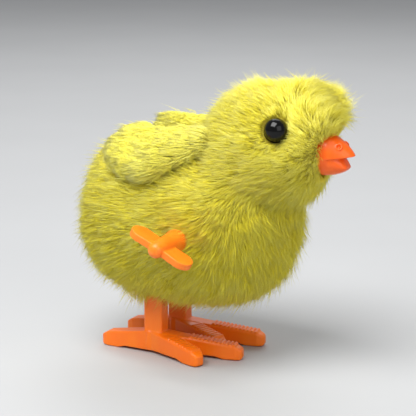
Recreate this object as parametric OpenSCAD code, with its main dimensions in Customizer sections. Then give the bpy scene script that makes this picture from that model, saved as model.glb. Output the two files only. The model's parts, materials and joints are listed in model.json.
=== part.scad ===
// Wind-up hopping chick: a plush bird over a hard two-part shell, with a clockwork motor
// that rocks both legs together. The chick faces -Y, +Z is up and its right side is -X.
// The origin is on the floor, midway between the legs.

/* [Body] */
// Length of the plush body, breast to tail
body_length = 66; // [64:1:68]
// Height and width of the plush body
body_girth = 50; // [49:0.5:52]
// Middle of the body above the floor
body_height = 40.5; // [40:0.5:41.5]
// Middle of the body in front of the hip
body_forward = 8; // [7:0.5:9]
// Thickness of the plush over the hard shell
plush_thickness = 5.5; // [5:0.5:6]
// Wall of the hard shell
shell_wall = 1.4; // [1.2:0.1:1.5]

/* [Head] */
// Width of the plush head
head_width = 37; // [36:0.5:38]
// Middle of the head above the floor
head_height = 64; // [63:0.5:65]
// Middle of the head in front of the hip
head_forward = 36.5; // [36:0.5:37]
// Width of the neck
neck_width = 35; // [33:0.5:36]
// Diameter of an eye
eye_d = 6.6; // [6:0.2:7]
// Thickness of a wing pad
wing_thickness = 4.2; // [3:0.2:5]

/* [Legs] */
// Distance between the middles of the two legs
leg_spacing = 14.8; // [14.8:0.1:15.4]
// Width of a leg across the chick
leg_width = 4.4; // [4:0.1:4.4]
// Depth of a leg from front to back
leg_depth = 6; // [5.5:0.1:6.2]
// Height of the hip above the floor
hip_height = 26.5; // [26.5:0.1:27]
// Length of the short toe
short_toe = 20; // [18:0.5:21]
// Length of the long toe
long_toe = 27; // [25:0.5:28]
// Length of the heel spur
heel_length = 18; // [16:0.5:19]
// Width of a toe
toe_width = 4.6; // [4:0.1:4.8]
// Height of the foot at the ankle
ankle_height = 6.8; // [6:0.1:7.2]
// Height of a toe at its tip
tip_height = 4; // [3.5:0.1:4.4]

/* [Key] */
// Span of the key's two leaves, tip to tip
key_span = 20; // [18:0.5:22]
// Distance that the key stands out of the shell
key_reach = 17.5; // [17:0.5:20]
// Tilt of the key's leaves at rest
key_tilt = 26; // [0:1:90]

/* [Motor] */
// Tooth size of the first gear pair
coarse_module = 0.5; // [0.5:0.01:0.5]
// Tooth size of the other gear pairs
fine_module = 0.4; // [0.4:0.01:0.4]
// Teeth on the great wheel and the second wheel
wheel_teeth = 36; // [36:1:36]
// Teeth on the third wheel
third_teeth = 30; // [30:1:30]
// Teeth on every pinion
pinion_teeth = 12; // [12:1:12]
// Throw of the crank pin
crank_throw = 1.5; // [1.2:0.1:1.6]
// Radial play of an arbor in its bearing
bearing_play = 0.05; // [0.03:0.01:0.08]

/* [Hidden] */
$fn = 48;

plush_yellow = [0.86, 0.84, 0.32];
wing_yellow = [0.92, 0.90, 0.42];
toy_orange = [1.00, 0.46, 0.10];
shell_white = [0.93, 0.92, 0.88];
gear_white = [0.96, 0.95, 0.90];
steel = [0.62, 0.63, 0.65];

// Points are [y, z] pairs in the chick's side plane.
function toward(angle) = [cos(angle), sin(angle)];

// Places of the body and head
body_centre = [-body_forward, body_height];
head_centre = [-head_forward, head_height];
neck_centre = [-head_forward + 9, head_height - 5.5];
beak_centre_z = head_height - 0.9;
tail_squareness = 0.7;
breast_squareness = 0.9;
profile_steps = 14;

// The gear train runs from the key's axis over the back and down to the hip.
coarse_distance = coarse_module * (wheel_teeth + pinion_teeth) / 2;
fine_distance = fine_module * (wheel_teeth + pinion_teeth) / 2;
last_distance = fine_module * (third_teeth + pinion_teeth) / 2;
first_bearing = 25;
second_bearing = -18;
third_bearing = -82;
hip_bearing = 49;
fork_reach = 8.6;
hip = [0.35, hip_height];
crank_axis = hip + fork_reach * toward(hip_bearing);
third_axis = crank_axis - last_distance * toward(third_bearing);
second_axis = third_axis - fine_distance * toward(second_bearing);
key_axis = second_axis - coarse_distance * toward(first_bearing);

// Radii of the pins
key_arbor_r = 1.0;
arbor_r = 0.6;
hip_r = 1.2;

// Layers of the motor across the chick, as x values
plate_inner = 4.0;
plate_outer = 5.0;
arbor_end = 4.9;
spring_x = [-3.7, -1.8];
ratchet_x = [-1.6, -0.7];
great_x = [-0.5, 0.7];
second_pinion_x = [-0.7, 1.1];
second_wheel_x = [1.1, 2.1];
third_wheel_x = [-2.4, -1.4];
third_pinion_x = [-1.4, 2.3];
crank_pinion_x = [-2.6, -1.2];
crank_disc_x = [0.9, 1.7];
crank_pin_end = 2.3;
fork_x = [2.6, 3.6];
case_wall = 1.0;
screw_ear_r = 2.4;
case_screw_r = 0.8;

// Tooth form
pressure_angle = 20;
wheel_addendum = 0.75;
pinion_addendum = 1.0;
dedendum = 1.3;
backlash = 0.1;

// Holes and pins of the shell
leg_gap = 0.5;
key_hole_r = 4.1;
shell_screw_r = 0.9;
shell_screws_at = [[-30, 57], [16, 44], [-30, 37]];
posts_at = [[-21, 33], [-4.5, 48], [10, 42]];
case_ears_at = [
    key_axis + 12 * toward(145),
    third_axis + 9 * toward(45),
    key_axis + 12 * toward(-75)
];

// The eye looks out to the side, a little forward and up.
eye_forward_tilt = 21;
eye_rise = 27;
eye_seat = head_width / 2 - plush_thickness;

// ---------------------------------------------------------------- helpers

// A side-plane outline, given thickness from x0 to x1
module across(x0, x1) {
    translate([x0, 0, 0]) rotate([90, 0, 90]) linear_extrude(x1 - x0) children();
}

// A round bar along X through the side-plane point p
module bar(p, r, x0, x1) {
    translate([x0, p[0], p[1]]) rotate([0, 90, 0]) cylinder(r = r, h = x1 - x0);
}

function body_exponent(t) = t < 90 ? tail_squareness : breast_squareness;
function signed_power(v, e) = sign(v) * pow(abs(v), e);

// Half outline of the body from tail to breast, shrunk by inset
function body_profile(inset) = [
    for (i = [0 : profile_steps])
        let (t = 180 * i / profile_steps, e = body_exponent(t))
        [(body_girth / 2 - inset) * pow(sin(t), e),
         -(body_length / 2 - inset) * signed_power(cos(t), e)]
];

// The round barrel of the body
module barrel(inset) {
    translate([0, body_centre[0], body_centre[1]]) rotate([90, 0, 0])
        rotate_extrude() polygon(body_profile(inset));
}

// A ball on the chick's middle plane, with its poles turned away from the openings
module ball(p, r, poles) {
    translate([0, p[0], p[1]]) rotate(poles) sphere(r = r);
}

// The whole form of the chick: barrel, neck and head
module chick_form(inset, poles = [0, 60, 20]) {
    barrel(inset);
    ball(neck_centre, neck_width / 2 - inset, poles);
    ball(head_centre, head_width / 2 - inset, poles);
}

// Both legs pass through the belly here.
module leg_slots(gap) {
    for (side = [-1, 1])
        translate([side * leg_spacing / 2, hip[0], hip_height / 2])
            cube([leg_width + 2 * gap, leg_depth + 11 * gap, hip_height], center = true);
}

// Turns +Z to look out of an eye, from the head's centre
module eye_direction(side) {
    translate([0, head_centre[0], head_centre[1]])
        rotate([0, 0, side * (90 - eye_forward_tilt) - 90]) rotate([0, 90 - eye_rise, 0])
            children();
}

// ---------------------------------------------------------------- plush and face

module plush_cover() {
    beak_pocket_r = 6.5;
    color(plush_yellow) difference() {
        chick_form(0);
        chick_form(plush_thickness);
        leg_slots(leg_gap);
        bar(key_axis, key_hole_r, -body_girth / 2 - 5, 0);
        for (side = [-1, 1])
            eye_direction(side) translate([0, 0, eye_seat - 1])
                cylinder(d = eye_d + 0.2, h = plush_thickness + 3);
        translate([0, head_centre[0], beak_centre_z]) rotate([90, 0, 0])
            cylinder(r = beak_pocket_r, h = head_width);
    }
}

// A rounded pad that lies on the side of the back, broad towards the tail
module wing() {
    lie = 34;
    color(wing_yellow) intersection() {
        difference() {
            barrel(-wing_thickness);
            chick_form(0);
        }
        translate([0, 0, body_height]) rotate([0, -lie, 0])
            linear_extrude(body_girth) hull() {
                translate([0, 2]) circle(r = 9.8);
                translate([1, -15.5]) circle(r = 4.2);
            }
    }
}

module right_wing() wing();
module left_wing() mirror([1, 0, 0]) wing();

// A domed bead with a shank that goes through the head shell
module eye(side) {
    dome_at = 2.8;
    shank_r = 0.9;
    color([0.03, 0.03, 0.03]) eye_direction(side) translate([0, 0, eye_seat]) {
        intersection() {
            translate([0, 0, dome_at]) sphere(d = eye_d);
            translate([0, 0, 1.2]) cylinder(d = eye_d + 1, h = eye_d);
        }
        translate([0, 0, 0.2]) cylinder(r = 1.6, h = 1.5);
        translate([0, 0, -2.9]) cylinder(r = shank_r, h = 3.5);
    }
}

module right_eye() eye(-1);
module left_eye() eye(1);

// Lock washers that hold the eyes from inside the head
module eye_washers() {
    color(steel) for (side = [-1, 1])
        eye_direction(side) translate([0, 0, eye_seat - shell_wall - 1.1]) difference() {
            cylinder(r = 2.2, h = 0.7);
            translate([0, 0, -1]) cylinder(r = 0.9, h = 3);
        }
}

// One moulding with an open mouth, and a plug that the shell halves clamp
module beak() {
    root_y = head_centre[0] - head_width / 2 + plush_thickness + 0.2;
    mid_z = beak_centre_z;
    side_outline = [
        [root_y, mid_z + 6.1], [root_y - 1.2, mid_z + 6.2], [root_y - 4.2, mid_z + 5.0],
        [root_y - 7.2, mid_z + 2.8], [root_y - 9.3, mid_z + 0.4], [root_y - 9.9, mid_z - 0.9],
        [root_y - 9.3, mid_z - 1.4], [root_y - 6.2, mid_z - 1.1], [root_y - 2.9, mid_z - 0.7],
        [root_y - 4.7, mid_z - 1.8], [root_y - 6.9, mid_z - 2.7], [root_y - 7.7, mid_z - 3.4],
        [root_y - 7.1, mid_z - 4.4], [root_y - 3.7, mid_z - 5.7], [root_y, mid_z - 6.2]
    ];
    half_plan = [[5.6, 0], [5.3, 1.8], [3.8, 5.6], [1.8, 9], [0.8, 10]];
    flange_r = 3.9;
    plug_r = 3.0;
    color(toy_orange) {
        intersection() {
            across(-6, 6) polygon(side_outline);
            translate([0, root_y, mid_z]) rotate([90, 0, 0]) cylinder(r1 = 6.3, r2 = 3.6, h = 10);
            translate([0, root_y, 0]) linear_extrude(2 * head_height) polygon(concat(
                [for (p = half_plan) [p[0], -p[1]]],
                [for (i = [len(half_plan) - 1 : -1 : 0]) [-half_plan[i][0], -half_plan[i][1]]]
            ));
        }
        translate([0, root_y + 4.6, mid_z]) rotate([90, 0, 0]) cylinder(r = plug_r, h = 4.8);
        translate([0, root_y + 4.6, mid_z]) rotate([90, 0, 0]) cylinder(r = flange_r, h = 1.2);
    }
}

// ---------------------------------------------------------------- hard shell

// Half of space, on one side of the chick's middle plane
module half_space(side) {
    translate([side * 50, 0, 50]) cube([100, 200, 200], center = true);
}

// Solid stretches inside the shell: screw bosses from the middle plane, and posts that
// reach in to the gearbox
module shell_pillars(side) {
    far = side * body_girth;
    for (p = shell_screws_at) bar(p, 2.6, min(0, far), max(0, far));
    for (p = posts_at) bar(p, 2, min(side * plate_outer, far), max(side * plate_outer, far));
}

// One half of the hard shell; side is -1 for the right half
module body_shell(side) {
    head_x = 6;
    sideways = [0, 90, 0];
    color(shell_white) difference() {
        intersection() {
            chick_form(plush_thickness, sideways);
            half_space(side);
        }
        difference() {
            chick_form(plush_thickness + shell_wall, sideways);
            shell_pillars(side);
        }
        // opening for the legs and the foot of the gearbox
        translate([0, hip[0], hip_height / 2])
            cube([leg_spacing + leg_width + 2, leg_depth + 8, hip_height], center = true);
        for (p = shell_screws_at) {
            bar(p, side < 0 ? shell_screw_r : shell_screw_r + 0.2, -7, head_x + 1);
            if (side > 0) bar(p, 1.9, head_x, 30);
        }
        if (side < 0) bar(key_axis, key_hole_r, -30, -10);
        eye_direction(side) cylinder(r = 0.95, h = head_width);
        translate([0, head_centre[0], beak_centre_z]) rotate([90, 0, 0])
            cylinder(r = 3.05, h = head_width);
    }
}

module body_shell_right() body_shell(-1);
module body_shell_left() body_shell(1);

module shell_screws() {
    color(steel) for (p = shell_screws_at) {
        bar(p, shell_screw_r, -6.5, 6.2);
        bar(p, 1.7, 6, 7.2);
    }
}

// ---------------------------------------------------------------- gearbox

// Outline around all the wheels, grown by extra
module case_outline(extra) {
    hull() {
        translate(key_axis) circle(r = 9.7 + extra, $fn = 36);
        translate(second_axis) circle(r = 7.8 + extra, $fn = 36);
        translate(third_axis) circle(r = 6.6 + extra, $fn = 36);
        translate(crank_axis) circle(r = 6 + extra, $fn = 36);
        translate(hip) circle(r = 3.6 + extra, $fn = 36);
    }
}

// Cup that holds the left ends of the arbors
module gearbox_case() {
    color(gear_white) difference() {
        union() {
            across(plate_inner, plate_outer) case_outline(case_wall);
            difference() {
                across(-plate_inner, plate_inner) case_outline(case_wall);
                across(-plate_inner - 1, plate_inner) case_outline(0);
            }
            for (p = case_ears_at) bar(p, screw_ear_r, -plate_inner, plate_outer);
        }
        for (p = case_ears_at) bar(p, case_screw_r, -plate_inner - 1, 2.2);
        bar(key_axis, key_arbor_r + bearing_play, 0, 6);
        bar(hip, hip_r + bearing_play, 0, 6);
        for (p = [second_axis, third_axis]) bar(p, arbor_r + bearing_play, 0, 6);
    }
}

// Flat lid that holds the right ends of the arbors
module gearbox_cover() {
    color(gear_white) difference() {
        union() {
            across(-plate_outer, -plate_inner) case_outline(case_wall);
            for (p = case_ears_at) bar(p, screw_ear_r, -plate_outer, -plate_inner);
            bar(crank_axis, 2, -plate_inner - 0.5, -2.9);
        }
        for (p = case_ears_at) bar(p, case_screw_r + 0.1, -6, 0);
        bar(key_axis, key_arbor_r + bearing_play, -6, 0);
        bar(hip, hip_r + bearing_play, -6, 0);
        for (p = [second_axis, third_axis, crank_axis])
            bar(p, arbor_r + bearing_play, -6, 0);
        bar(spring_post_at, arbor_r, -6, 0);
    }
}

module gearbox_screws() {
    color(steel) for (p = case_ears_at) {
        bar(p, case_screw_r, -5.5, 2);
        bar(p, 1.5, -6, -plate_outer);
    }
}

// ---------------------------------------------------------------- mainspring

post_angle = 200;
spring_turns = 6;
spring_inner = 1.8;
spring_outer = 7.5;
spring_strip = 0.3;
points_per_turn = 20;
post_reach = 8.2;
spring_post_at = key_axis + post_reach * toward(post_angle);

// One edge of the coiled strip
function coil_edge(offset) = [
    for (i = [0 : spring_turns * points_per_turn])
        let (part = i / (spring_turns * points_per_turn))
        (spring_inner + (spring_outer - spring_inner) * part + offset)
            * toward(post_angle + 360 * spring_turns * part)
];

function reversed(list) = [for (i = [len(list) - 1 : -1 : 0]) list[i]];

// Coiled strip, with an eye round the arbor and a loop round its post
module mainspring() {
    color(steel) difference() {
        across(spring_x[0], spring_x[1]) offset(delta = 0) translate(key_axis) {
            polygon(concat(coil_edge(0), reversed(coil_edge(spring_strip))));
            circle(r = spring_inner + spring_strip / 2);
            translate(post_reach * toward(post_angle)) circle(r = 1.1);
        }
        bar(key_axis, key_arbor_r + 0.15, -5, 0);
        bar(spring_post_at, arbor_r, -5, 0);
    }
}

module spring_post() {
    color(steel) bar(spring_post_at, arbor_r, -arbor_end, -1.75);
}

// ---------------------------------------------------------------- gears

function involute(base_r, r) = let (a = acos(min(1, base_r / r))) tan(a) * 180 / PI - a;

// Half the angle that a tooth takes up at radius r
function half_tooth(teeth, pitch_r, base_r, r) =
    90 / teeth - backlash / 2 / pitch_r * 180 / PI
    + involute(base_r, pitch_r) - involute(base_r, max(r, base_r));

// Involute gear outline with one tooth along angle turn
module gear_outline(teeth, size, addendum, turn) {
    pitch_r = size * teeth / 2;
    base_r = pitch_r * cos(pressure_angle);
    root_r = pitch_r - dedendum * size;
    radii = [root_r, max(base_r, root_r + 0.02), pitch_r, pitch_r + addendum * size];
    half = [for (r = radii) half_tooth(teeth, pitch_r, base_r, r)];
    polygon([
        for (i = [0 : teeth - 1])
            let (middle = turn + 360 * i / teeth)
            each concat(
                [for (k = [0 : 3]) radii[k] * toward(middle - half[k])],
                [for (k = [3 : -1 : 0]) radii[k] * toward(middle + half[k])]
            )
    ]);
}

// Turn that puts a gear in mesh with its driver, which lies against the given bearing
function meshed(driver_turn, driver_teeth, teeth, bearing) =
    bearing + 180 + 180 / teeth - (driver_turn - bearing) * driver_teeth / teeth;

great_turn = key_tilt;
second_turn = meshed(great_turn, wheel_teeth, pinion_teeth, first_bearing);
third_turn = meshed(second_turn, wheel_teeth, pinion_teeth, second_bearing);
crank_turn = meshed(third_turn, third_teeth, pinion_teeth, third_bearing);

module wheel(at, teeth, size, turn, x) {
    across(x[0], x[1]) translate(at) gear_outline(teeth, size, wheel_addendum, turn);
}

module pinion(at, size, turn, x) {
    across(x[0], x[1]) translate(at) gear_outline(pinion_teeth, size, pinion_addendum, turn);
}

module great_wheel() {
    color(gear_white) difference() {
        wheel(key_axis, wheel_teeth, coarse_module, great_turn, great_x);
        bar(key_axis, key_arbor_r, -5, 5);
        bar(click_pivot, click_pin_r, -5, 5);
    }
}

module second_wheel() {
    color(gear_white) difference() {
        union() {
            pinion(second_axis, coarse_module, second_turn, second_pinion_x);
            wheel(second_axis, wheel_teeth, fine_module, second_turn, second_wheel_x);
        }
        bar(second_axis, arbor_r, -5, 5);
    }
}

module third_wheel() {
    color(gear_white) difference() {
        union() {
            wheel(third_axis, third_teeth, fine_module, third_turn, third_wheel_x);
            pinion(third_axis, fine_module, third_turn, third_pinion_x);
        }
        bar(third_axis, arbor_r, -5, 5);
    }
}

crank_pin_at = crank_axis + crank_throw * toward(hip_bearing);

module crank_wheel() {
    color(gear_white) difference() {
        union() {
            pinion(crank_axis, fine_module, crank_turn, crank_pinion_x);
            bar(crank_axis, 1.5, crank_pinion_x[1], crank_disc_x[0]);
            bar(crank_axis, 3, crank_disc_x[0], crank_disc_x[1]);
        }
        bar(crank_axis, arbor_r, -5, 5);
        bar(crank_pin_at, arbor_r, 0, 5);
    }
}

module second_arbor() color(steel) bar(second_axis, arbor_r, -arbor_end, arbor_end);
module third_arbor() color(steel) bar(third_axis, arbor_r, -arbor_end, arbor_end);
module crank_arbor() color(steel) bar(crank_axis, arbor_r, -arbor_end, crank_disc_x[1]);
module crank_pin() color(steel) bar(crank_pin_at, arbor_r, crank_disc_x[0], crank_pin_end);

// ---------------------------------------------------------------- winding parts

shell_side = body_girth / 2 - plush_thickness;
key_inner = -shell_side + 3;
key_outer = -shell_side - key_reach;

module winding_arbor() {
    color(steel) bar(key_axis, key_arbor_r, key_outer + 3, arbor_end);
}

// Stem that tapers outwards to a rounded end, with two flat leaves
module winding_key() {
    leaf_width = 6.8;
    leaf_thickness = 1.9;
    leaf_mid = key_outer + 1.6 + leaf_width / 2;
    stem = key_inner - key_outer;
    color(toy_orange) translate([0, key_axis[0], key_axis[1]]) difference() {
        union() {
            translate([key_inner, 0, 0]) rotate([0, -90, 0]) rotate_extrude() polygon([
                [0, 0], [3.0, 0], [3.0, 2.5], [3.35, 3.2], [3.35, 7.5], [2.9, 9.5],
                [2.5, stem - 4], [2.1, stem - 1.2], [1.4, stem - 0.3], [0, stem]
            ]);
            rotate([key_tilt, 0, 0]) translate([0, 0, -leaf_thickness / 2])
                linear_extrude(leaf_thickness) hull() for (end = [-1, 1])
                    translate([leaf_mid, end * (key_span / 2 - leaf_width / 2)])
                        circle(d = leaf_width);
        }
        translate([key_outer + 3, 0, 0]) rotate([0, 90, 0]) cylinder(r = key_arbor_r, h = stem);
    }
}

ratchet_teeth = 10;
ratchet_r = 3.0;
click_pivot = key_axis + 6.2 * toward(60);
click_pin_r = 0.5;

// Saw-toothed wheel on the arbor, which the click holds one way
module ratchet_wheel() {
    color(steel) difference() {
        across(ratchet_x[0], ratchet_x[1]) translate(key_axis) polygon([
            for (i = [0 : ratchet_teeth - 1])
                let (a = 360 * i / ratchet_teeth)
                each [ratchet_r * toward(a), (ratchet_r - 0.7) * toward(a + 2)]
        ]);
        bar(key_axis, key_arbor_r, -5, 5);
    }
}

// Small pawl on the face of the great wheel
module click() {
    color(steel) {
        across(ratchet_x[0], ratchet_x[1]) hull() {
            translate(click_pivot) circle(r = 0.9);
            translate(key_axis + 3.5 * toward(20)) circle(r = 0.35);
        }
        bar(click_pivot, click_pin_r, ratchet_x[1], great_x[1]);
    }
}

// ---------------------------------------------------------------- legs

module hip_shaft() {
    reach = leg_spacing / 2 + leg_width / 2;
    color(steel) bar(hip, hip_r, -reach, reach);
}

// Slotted arm on the hip shaft, beside the crank pin
module rocker_fork() {
    slot = [6.4, 10.8];
    color(gear_white) difference() {
        across(fork_x[0], fork_x[1]) difference() {
            hull() {
                translate(hip) circle(r = 2.4);
                translate(hip + slot[1] * toward(hip_bearing)) circle(r = 1.7);
            }
            hull() for (s = slot)
                translate(hip + s * toward(hip_bearing)) circle(r = arbor_r + 0.1);
        }
        bar(hip, hip_r, -5, 5);
    }
}

// One digit of the foot along +X, from the ankle to a blunt tip. Its top falls in a
// straight line and carries ribs over the front part; its sole is flat at both ends.
module digit(reach, ribs) {
    rib_pitch = 1.2;
    rib_rise = 0.35;
    arch = 0.7;
    flat = 6;
    slope = (ankle_height - tip_height) / reach;
    rib_start = reach - 2.2 - ribs * rib_pitch;
    top = concat(
        [for (i = [0 : 1 : ribs - 1]) each [
            [rib_start + i * rib_pitch, 0],
            [rib_start + (i + 0.25) * rib_pitch, rib_rise],
            [rib_start + (i + 0.7) * rib_pitch, rib_rise]
        ]],
        [[reach - 1.8, 0]]
    );
    intersection() {
        translate([0, toe_width, 0]) rotate([90, 0, 0]) linear_extrude(2 * toe_width) polygon(concat(
            [[-2.6, arch], [-2.6, ankle_height]],
            [for (p = top) [p[0], ankle_height - slope * p[0] + p[1]]],
            [[reach - 0.5, tip_height - 1], [reach, tip_height - 2.4], [reach, 0.6],
             [reach - 0.5, 0], [reach - flat, 0], [reach - flat - 3, arch]]
        ));
        linear_extrude(2 * ankle_height) hull() {
            circle(r = toe_width / 2 + 0.3);
            translate([reach - toe_width / 2 + 0.3, 0]) circle(r = toe_width / 2 - 0.3);
        }
    }
}

// Leg and foot in one moulding. Both sides use the same moulding.
module leg(side) {
    middle = side * leg_spacing / 2;
    inner = middle - leg_width / 2;
    short_angle = 21;
    long_angle = 10;
    color(toy_orange) difference() {
        union() {
            across(inner, inner + leg_width) hull() {
                translate(hip) circle(r = 3.3);
                translate([hip[0] - leg_depth / 2, 3]) square([leg_depth, 1]);
            }
            translate([middle, hip[0], 0]) {
                rotate([0, 0, -90 - short_angle]) digit(short_toe, 9);
                rotate([0, 0, -90 + long_angle]) digit(long_toe, 12);
                rotate([0, 0, 90]) digit(heel_length, 0);
            }
        }
        bar(hip, hip_r, -20, 20);
    }
}

module right_leg() leg(-1);
module left_leg() leg(1);

// ---------------------------------------------------------------- assembly

plush_cover();
right_wing();
left_wing();
right_eye();
left_eye();
eye_washers();
beak();
body_shell_right();
body_shell_left();
shell_screws();
gearbox_case();
gearbox_cover();
gearbox_screws();
mainspring();
spring_post();
winding_key();
winding_arbor();
great_wheel();
ratchet_wheel();
click();
second_wheel();
second_arbor();
third_wheel();
third_arbor();
crank_wheel();
crank_arbor();
crank_pin();
hip_shaft();
rocker_fork();
right_leg();
left_leg();
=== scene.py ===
"""Looks of a plush wind-up hopping chick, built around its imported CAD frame.

The chick faces -Y, +Z is up and its right side is -X. Sizes are in millimetres in the
classes below and become metres where a mesh is made. The hard plastic pieces are modelled
anew with soft moulded edges, the plush is a cloth skin with real strands of pile rooted in
it, and the clockwork keeps its CAD meshes under procedural finishes.
"""

import json
import logging
import math
from collections.abc import Callable, Iterator, Sequence
from contextlib import contextmanager
from dataclasses import dataclass
from enum import Enum
from typing import Any

import bpy
import numpy as np
from mathutils import Euler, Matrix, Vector
from mathutils.kdtree import KDTree

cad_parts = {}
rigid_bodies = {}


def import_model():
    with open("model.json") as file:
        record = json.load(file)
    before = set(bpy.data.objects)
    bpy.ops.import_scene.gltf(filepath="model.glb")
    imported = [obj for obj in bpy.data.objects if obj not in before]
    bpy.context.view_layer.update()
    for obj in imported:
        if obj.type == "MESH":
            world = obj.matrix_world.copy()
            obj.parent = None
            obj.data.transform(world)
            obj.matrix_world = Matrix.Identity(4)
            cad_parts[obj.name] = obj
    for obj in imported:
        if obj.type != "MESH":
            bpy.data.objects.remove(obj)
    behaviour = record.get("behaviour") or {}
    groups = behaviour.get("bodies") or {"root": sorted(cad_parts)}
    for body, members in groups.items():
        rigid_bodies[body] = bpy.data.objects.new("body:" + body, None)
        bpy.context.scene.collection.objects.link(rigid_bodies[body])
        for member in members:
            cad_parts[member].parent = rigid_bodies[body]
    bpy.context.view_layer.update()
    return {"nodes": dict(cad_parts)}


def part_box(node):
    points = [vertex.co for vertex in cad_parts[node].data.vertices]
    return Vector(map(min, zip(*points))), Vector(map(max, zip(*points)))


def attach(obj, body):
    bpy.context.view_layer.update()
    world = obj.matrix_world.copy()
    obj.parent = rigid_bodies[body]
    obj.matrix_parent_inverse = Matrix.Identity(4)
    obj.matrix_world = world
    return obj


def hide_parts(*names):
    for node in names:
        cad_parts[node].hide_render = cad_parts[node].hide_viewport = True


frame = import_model()

log = logging.getLogger("chick")

MM = 0.001
ROUND = 64  # corners of a round section
BEVEL_STEPS = 4
BODY = "body"
PILE_UV = "OFBake"

Triple = tuple[float, float, float]


class Side(Enum):
    """The chick's two sides, with the sign of their X."""

    RIGHT = -1
    LEFT = 1

    @property
    def word(self) -> str:
        """The side's name in lower case, as piece names use it."""
        return self.name.lower()


# ---------------------------------------------------------------------------- modelling


def place(x: float, y: float, z: float) -> Vector:
    """A point given in millimetres, in metres."""
    return Vector((x, y, z)) * MM


def extent(node: str) -> tuple[Vector, Vector]:
    """A CAD node's lowest and highest corners, in millimetres."""
    low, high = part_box(node)
    return low / MM, high / MM


def facing(way: Vector) -> Euler:
    """The turn that points an object's Z this way."""
    return way.to_track_quat("Z", "Y").to_euler()


def select_only(*objects: bpy.types.Object) -> None:
    """Selects these objects and nothing else, with the first one active.

    Args:
        objects: What to select; with none, everything is deselected.
    """
    for other in bpy.context.view_layer.objects:
        other.select_set(False)
    for chosen in objects:
        chosen.select_set(True)
    if objects:
        bpy.context.view_layer.objects.active = objects[0]


@contextmanager
def editing(target: bpy.types.Object, kind: str = "FACE") -> Iterator[None]:
    """Opens edit mode on one object and closes it again.

    Args:
        target: The object to edit.
        kind: What is selected in edit mode: "VERT", "EDGE" or "FACE".
    """
    select_only(target)
    bpy.ops.object.mode_set(mode="EDIT")
    bpy.ops.mesh.select_mode(type=kind)
    yield
    bpy.ops.object.mode_set(mode="OBJECT")


def apply_modifier(target: bpy.types.Object, kind: str, **settings: Any) -> None:
    """Adds a modifier and applies it to the mesh.

    Args:
        target: The object to change.
        kind: The modifier's type, such as "BEVEL".
        settings: Its settings.
    """
    select_only(target)
    modifier = target.modifiers.new(kind.title(), kind)
    for key, value in settings.items():
        setattr(modifier, key, value)
    bpy.ops.object.modifier_apply(modifier=modifier.name)


def settle(target: bpy.types.Object, name: str) -> bpy.types.Object:
    """Names an object and moves its place into its mesh, so that it sits at the origin.

    Args:
        target: The object.
        name: Its new name, which its mesh gets too.

    Returns:
        The object.
    """
    select_only(target)
    bpy.ops.object.transform_apply(location=True, rotation=True, scale=True)
    target.name = name
    target.data.name = name
    return target


def primitive(add: Callable[..., Any], name: str, **settings: Any) -> bpy.types.Object:
    """Adds a primitive as the only thing selected.

    Args:
        add: The operator that adds it.
        name: Name of the new object.
        settings: The operator's settings, in metres.

    Returns:
        The primitive, with its place in its mesh.
    """
    select_only()
    add(**settings)
    return settle(bpy.context.object, name)


def add_object(name: str, data: bpy.types.ID) -> bpy.types.Object:
    """Puts a new object with this data in the scene.

    Args:
        name: Name of the new object.
        data: Its mesh, camera or light.

    Returns:
        The object.
    """
    made = bpy.data.objects.new(name, data)
    bpy.context.scene.collection.objects.link(made)
    return made


def smooth_shade(target: bpy.types.Object) -> None:
    """Shades an object smooth all over."""
    select_only(target)
    bpy.ops.object.shade_smooth()


def read_points(mesh: bpy.types.Mesh) -> np.ndarray:
    """A mesh's vertices, one a row.

    Args:
        mesh: The mesh.

    Returns:
        The vertices, in metres.
    """
    points = np.empty(len(mesh.vertices) * 3, np.float32)
    mesh.vertices.foreach_get("co", points)
    return points.reshape(-1, 3).astype(float)


def write_points(mesh: bpy.types.Mesh, points: np.ndarray) -> None:
    """Moves a mesh's vertices to these points, in metres."""
    mesh.vertices.foreach_set("co", points.astype(np.float32).ravel())
    mesh.update()


def loft(
    name: str, sections: Sequence[tuple[Triple, float, float]], corners: int = 48
) -> bpy.types.Object:
    """Draws one section out along -Y through a row of stations.

    Args:
        name: Name of the new object.
        sections: For each station its centre, half width along X and half height along Z, in
            millimetres.
        corners: Corners of the section; 4 gives a box section.

    Returns:
        The closed solid.
    """
    spread = math.sqrt(2) if corners == 4 else 1.0
    turn = math.pi / 4 if corners == 4 else 0.0
    centre, width, height = sections[0]
    made = primitive(
        bpy.ops.mesh.primitive_circle_add, name, vertices=corners, radius=MM * spread,
        fill_type="NGON", location=place(*centre), rotation=(math.pi / 2, turn, 0),
    )
    with editing(made):
        bpy.ops.mesh.select_all(action="SELECT")
        bpy.ops.transform.resize(value=(width, 1, height), center_override=place(*centre))
        for there, next_width, next_height in sections[1:]:
            step = place(*there) - place(*centre)
            bpy.ops.mesh.extrude_region_move(TRANSFORM_OT_translate={"value": step})
            bpy.ops.transform.resize(
                value=(next_width / width, 1, next_height / height),
                center_override=place(*there),
            )
            centre, width, height = there, next_width, next_height
        bpy.ops.mesh.select_all(action="SELECT")
        bpy.ops.mesh.normals_make_consistent(inside=False)
    return made


def block(name: str, middle: Vector, size: Triple, rounding: float) -> bpy.types.Object:
    """A box with bevelled edges.

    Args:
        name: Name of the new object.
        middle: Its middle, in metres.
        size: Its full size along X, Y and Z, in millimetres.
        rounding: Width of the bevel, in millimetres.

    Returns:
        The bevelled box.
    """
    made = primitive(
        bpy.ops.mesh.primitive_cube_add, name, size=MM, location=middle, scale=size
    )
    apply_modifier(made, "BEVEL", width=rounding * MM, segments=BEVEL_STEPS)
    return made


def ball(name: str, middle: Vector, radius: float) -> bpy.types.Object:
    """A sphere about a point in metres, with its radius in millimetres."""
    return primitive(
        bpy.ops.mesh.primitive_uv_sphere_add, name,
        segments=ROUND, ring_count=40, radius=radius * MM, location=middle,
    )


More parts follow.
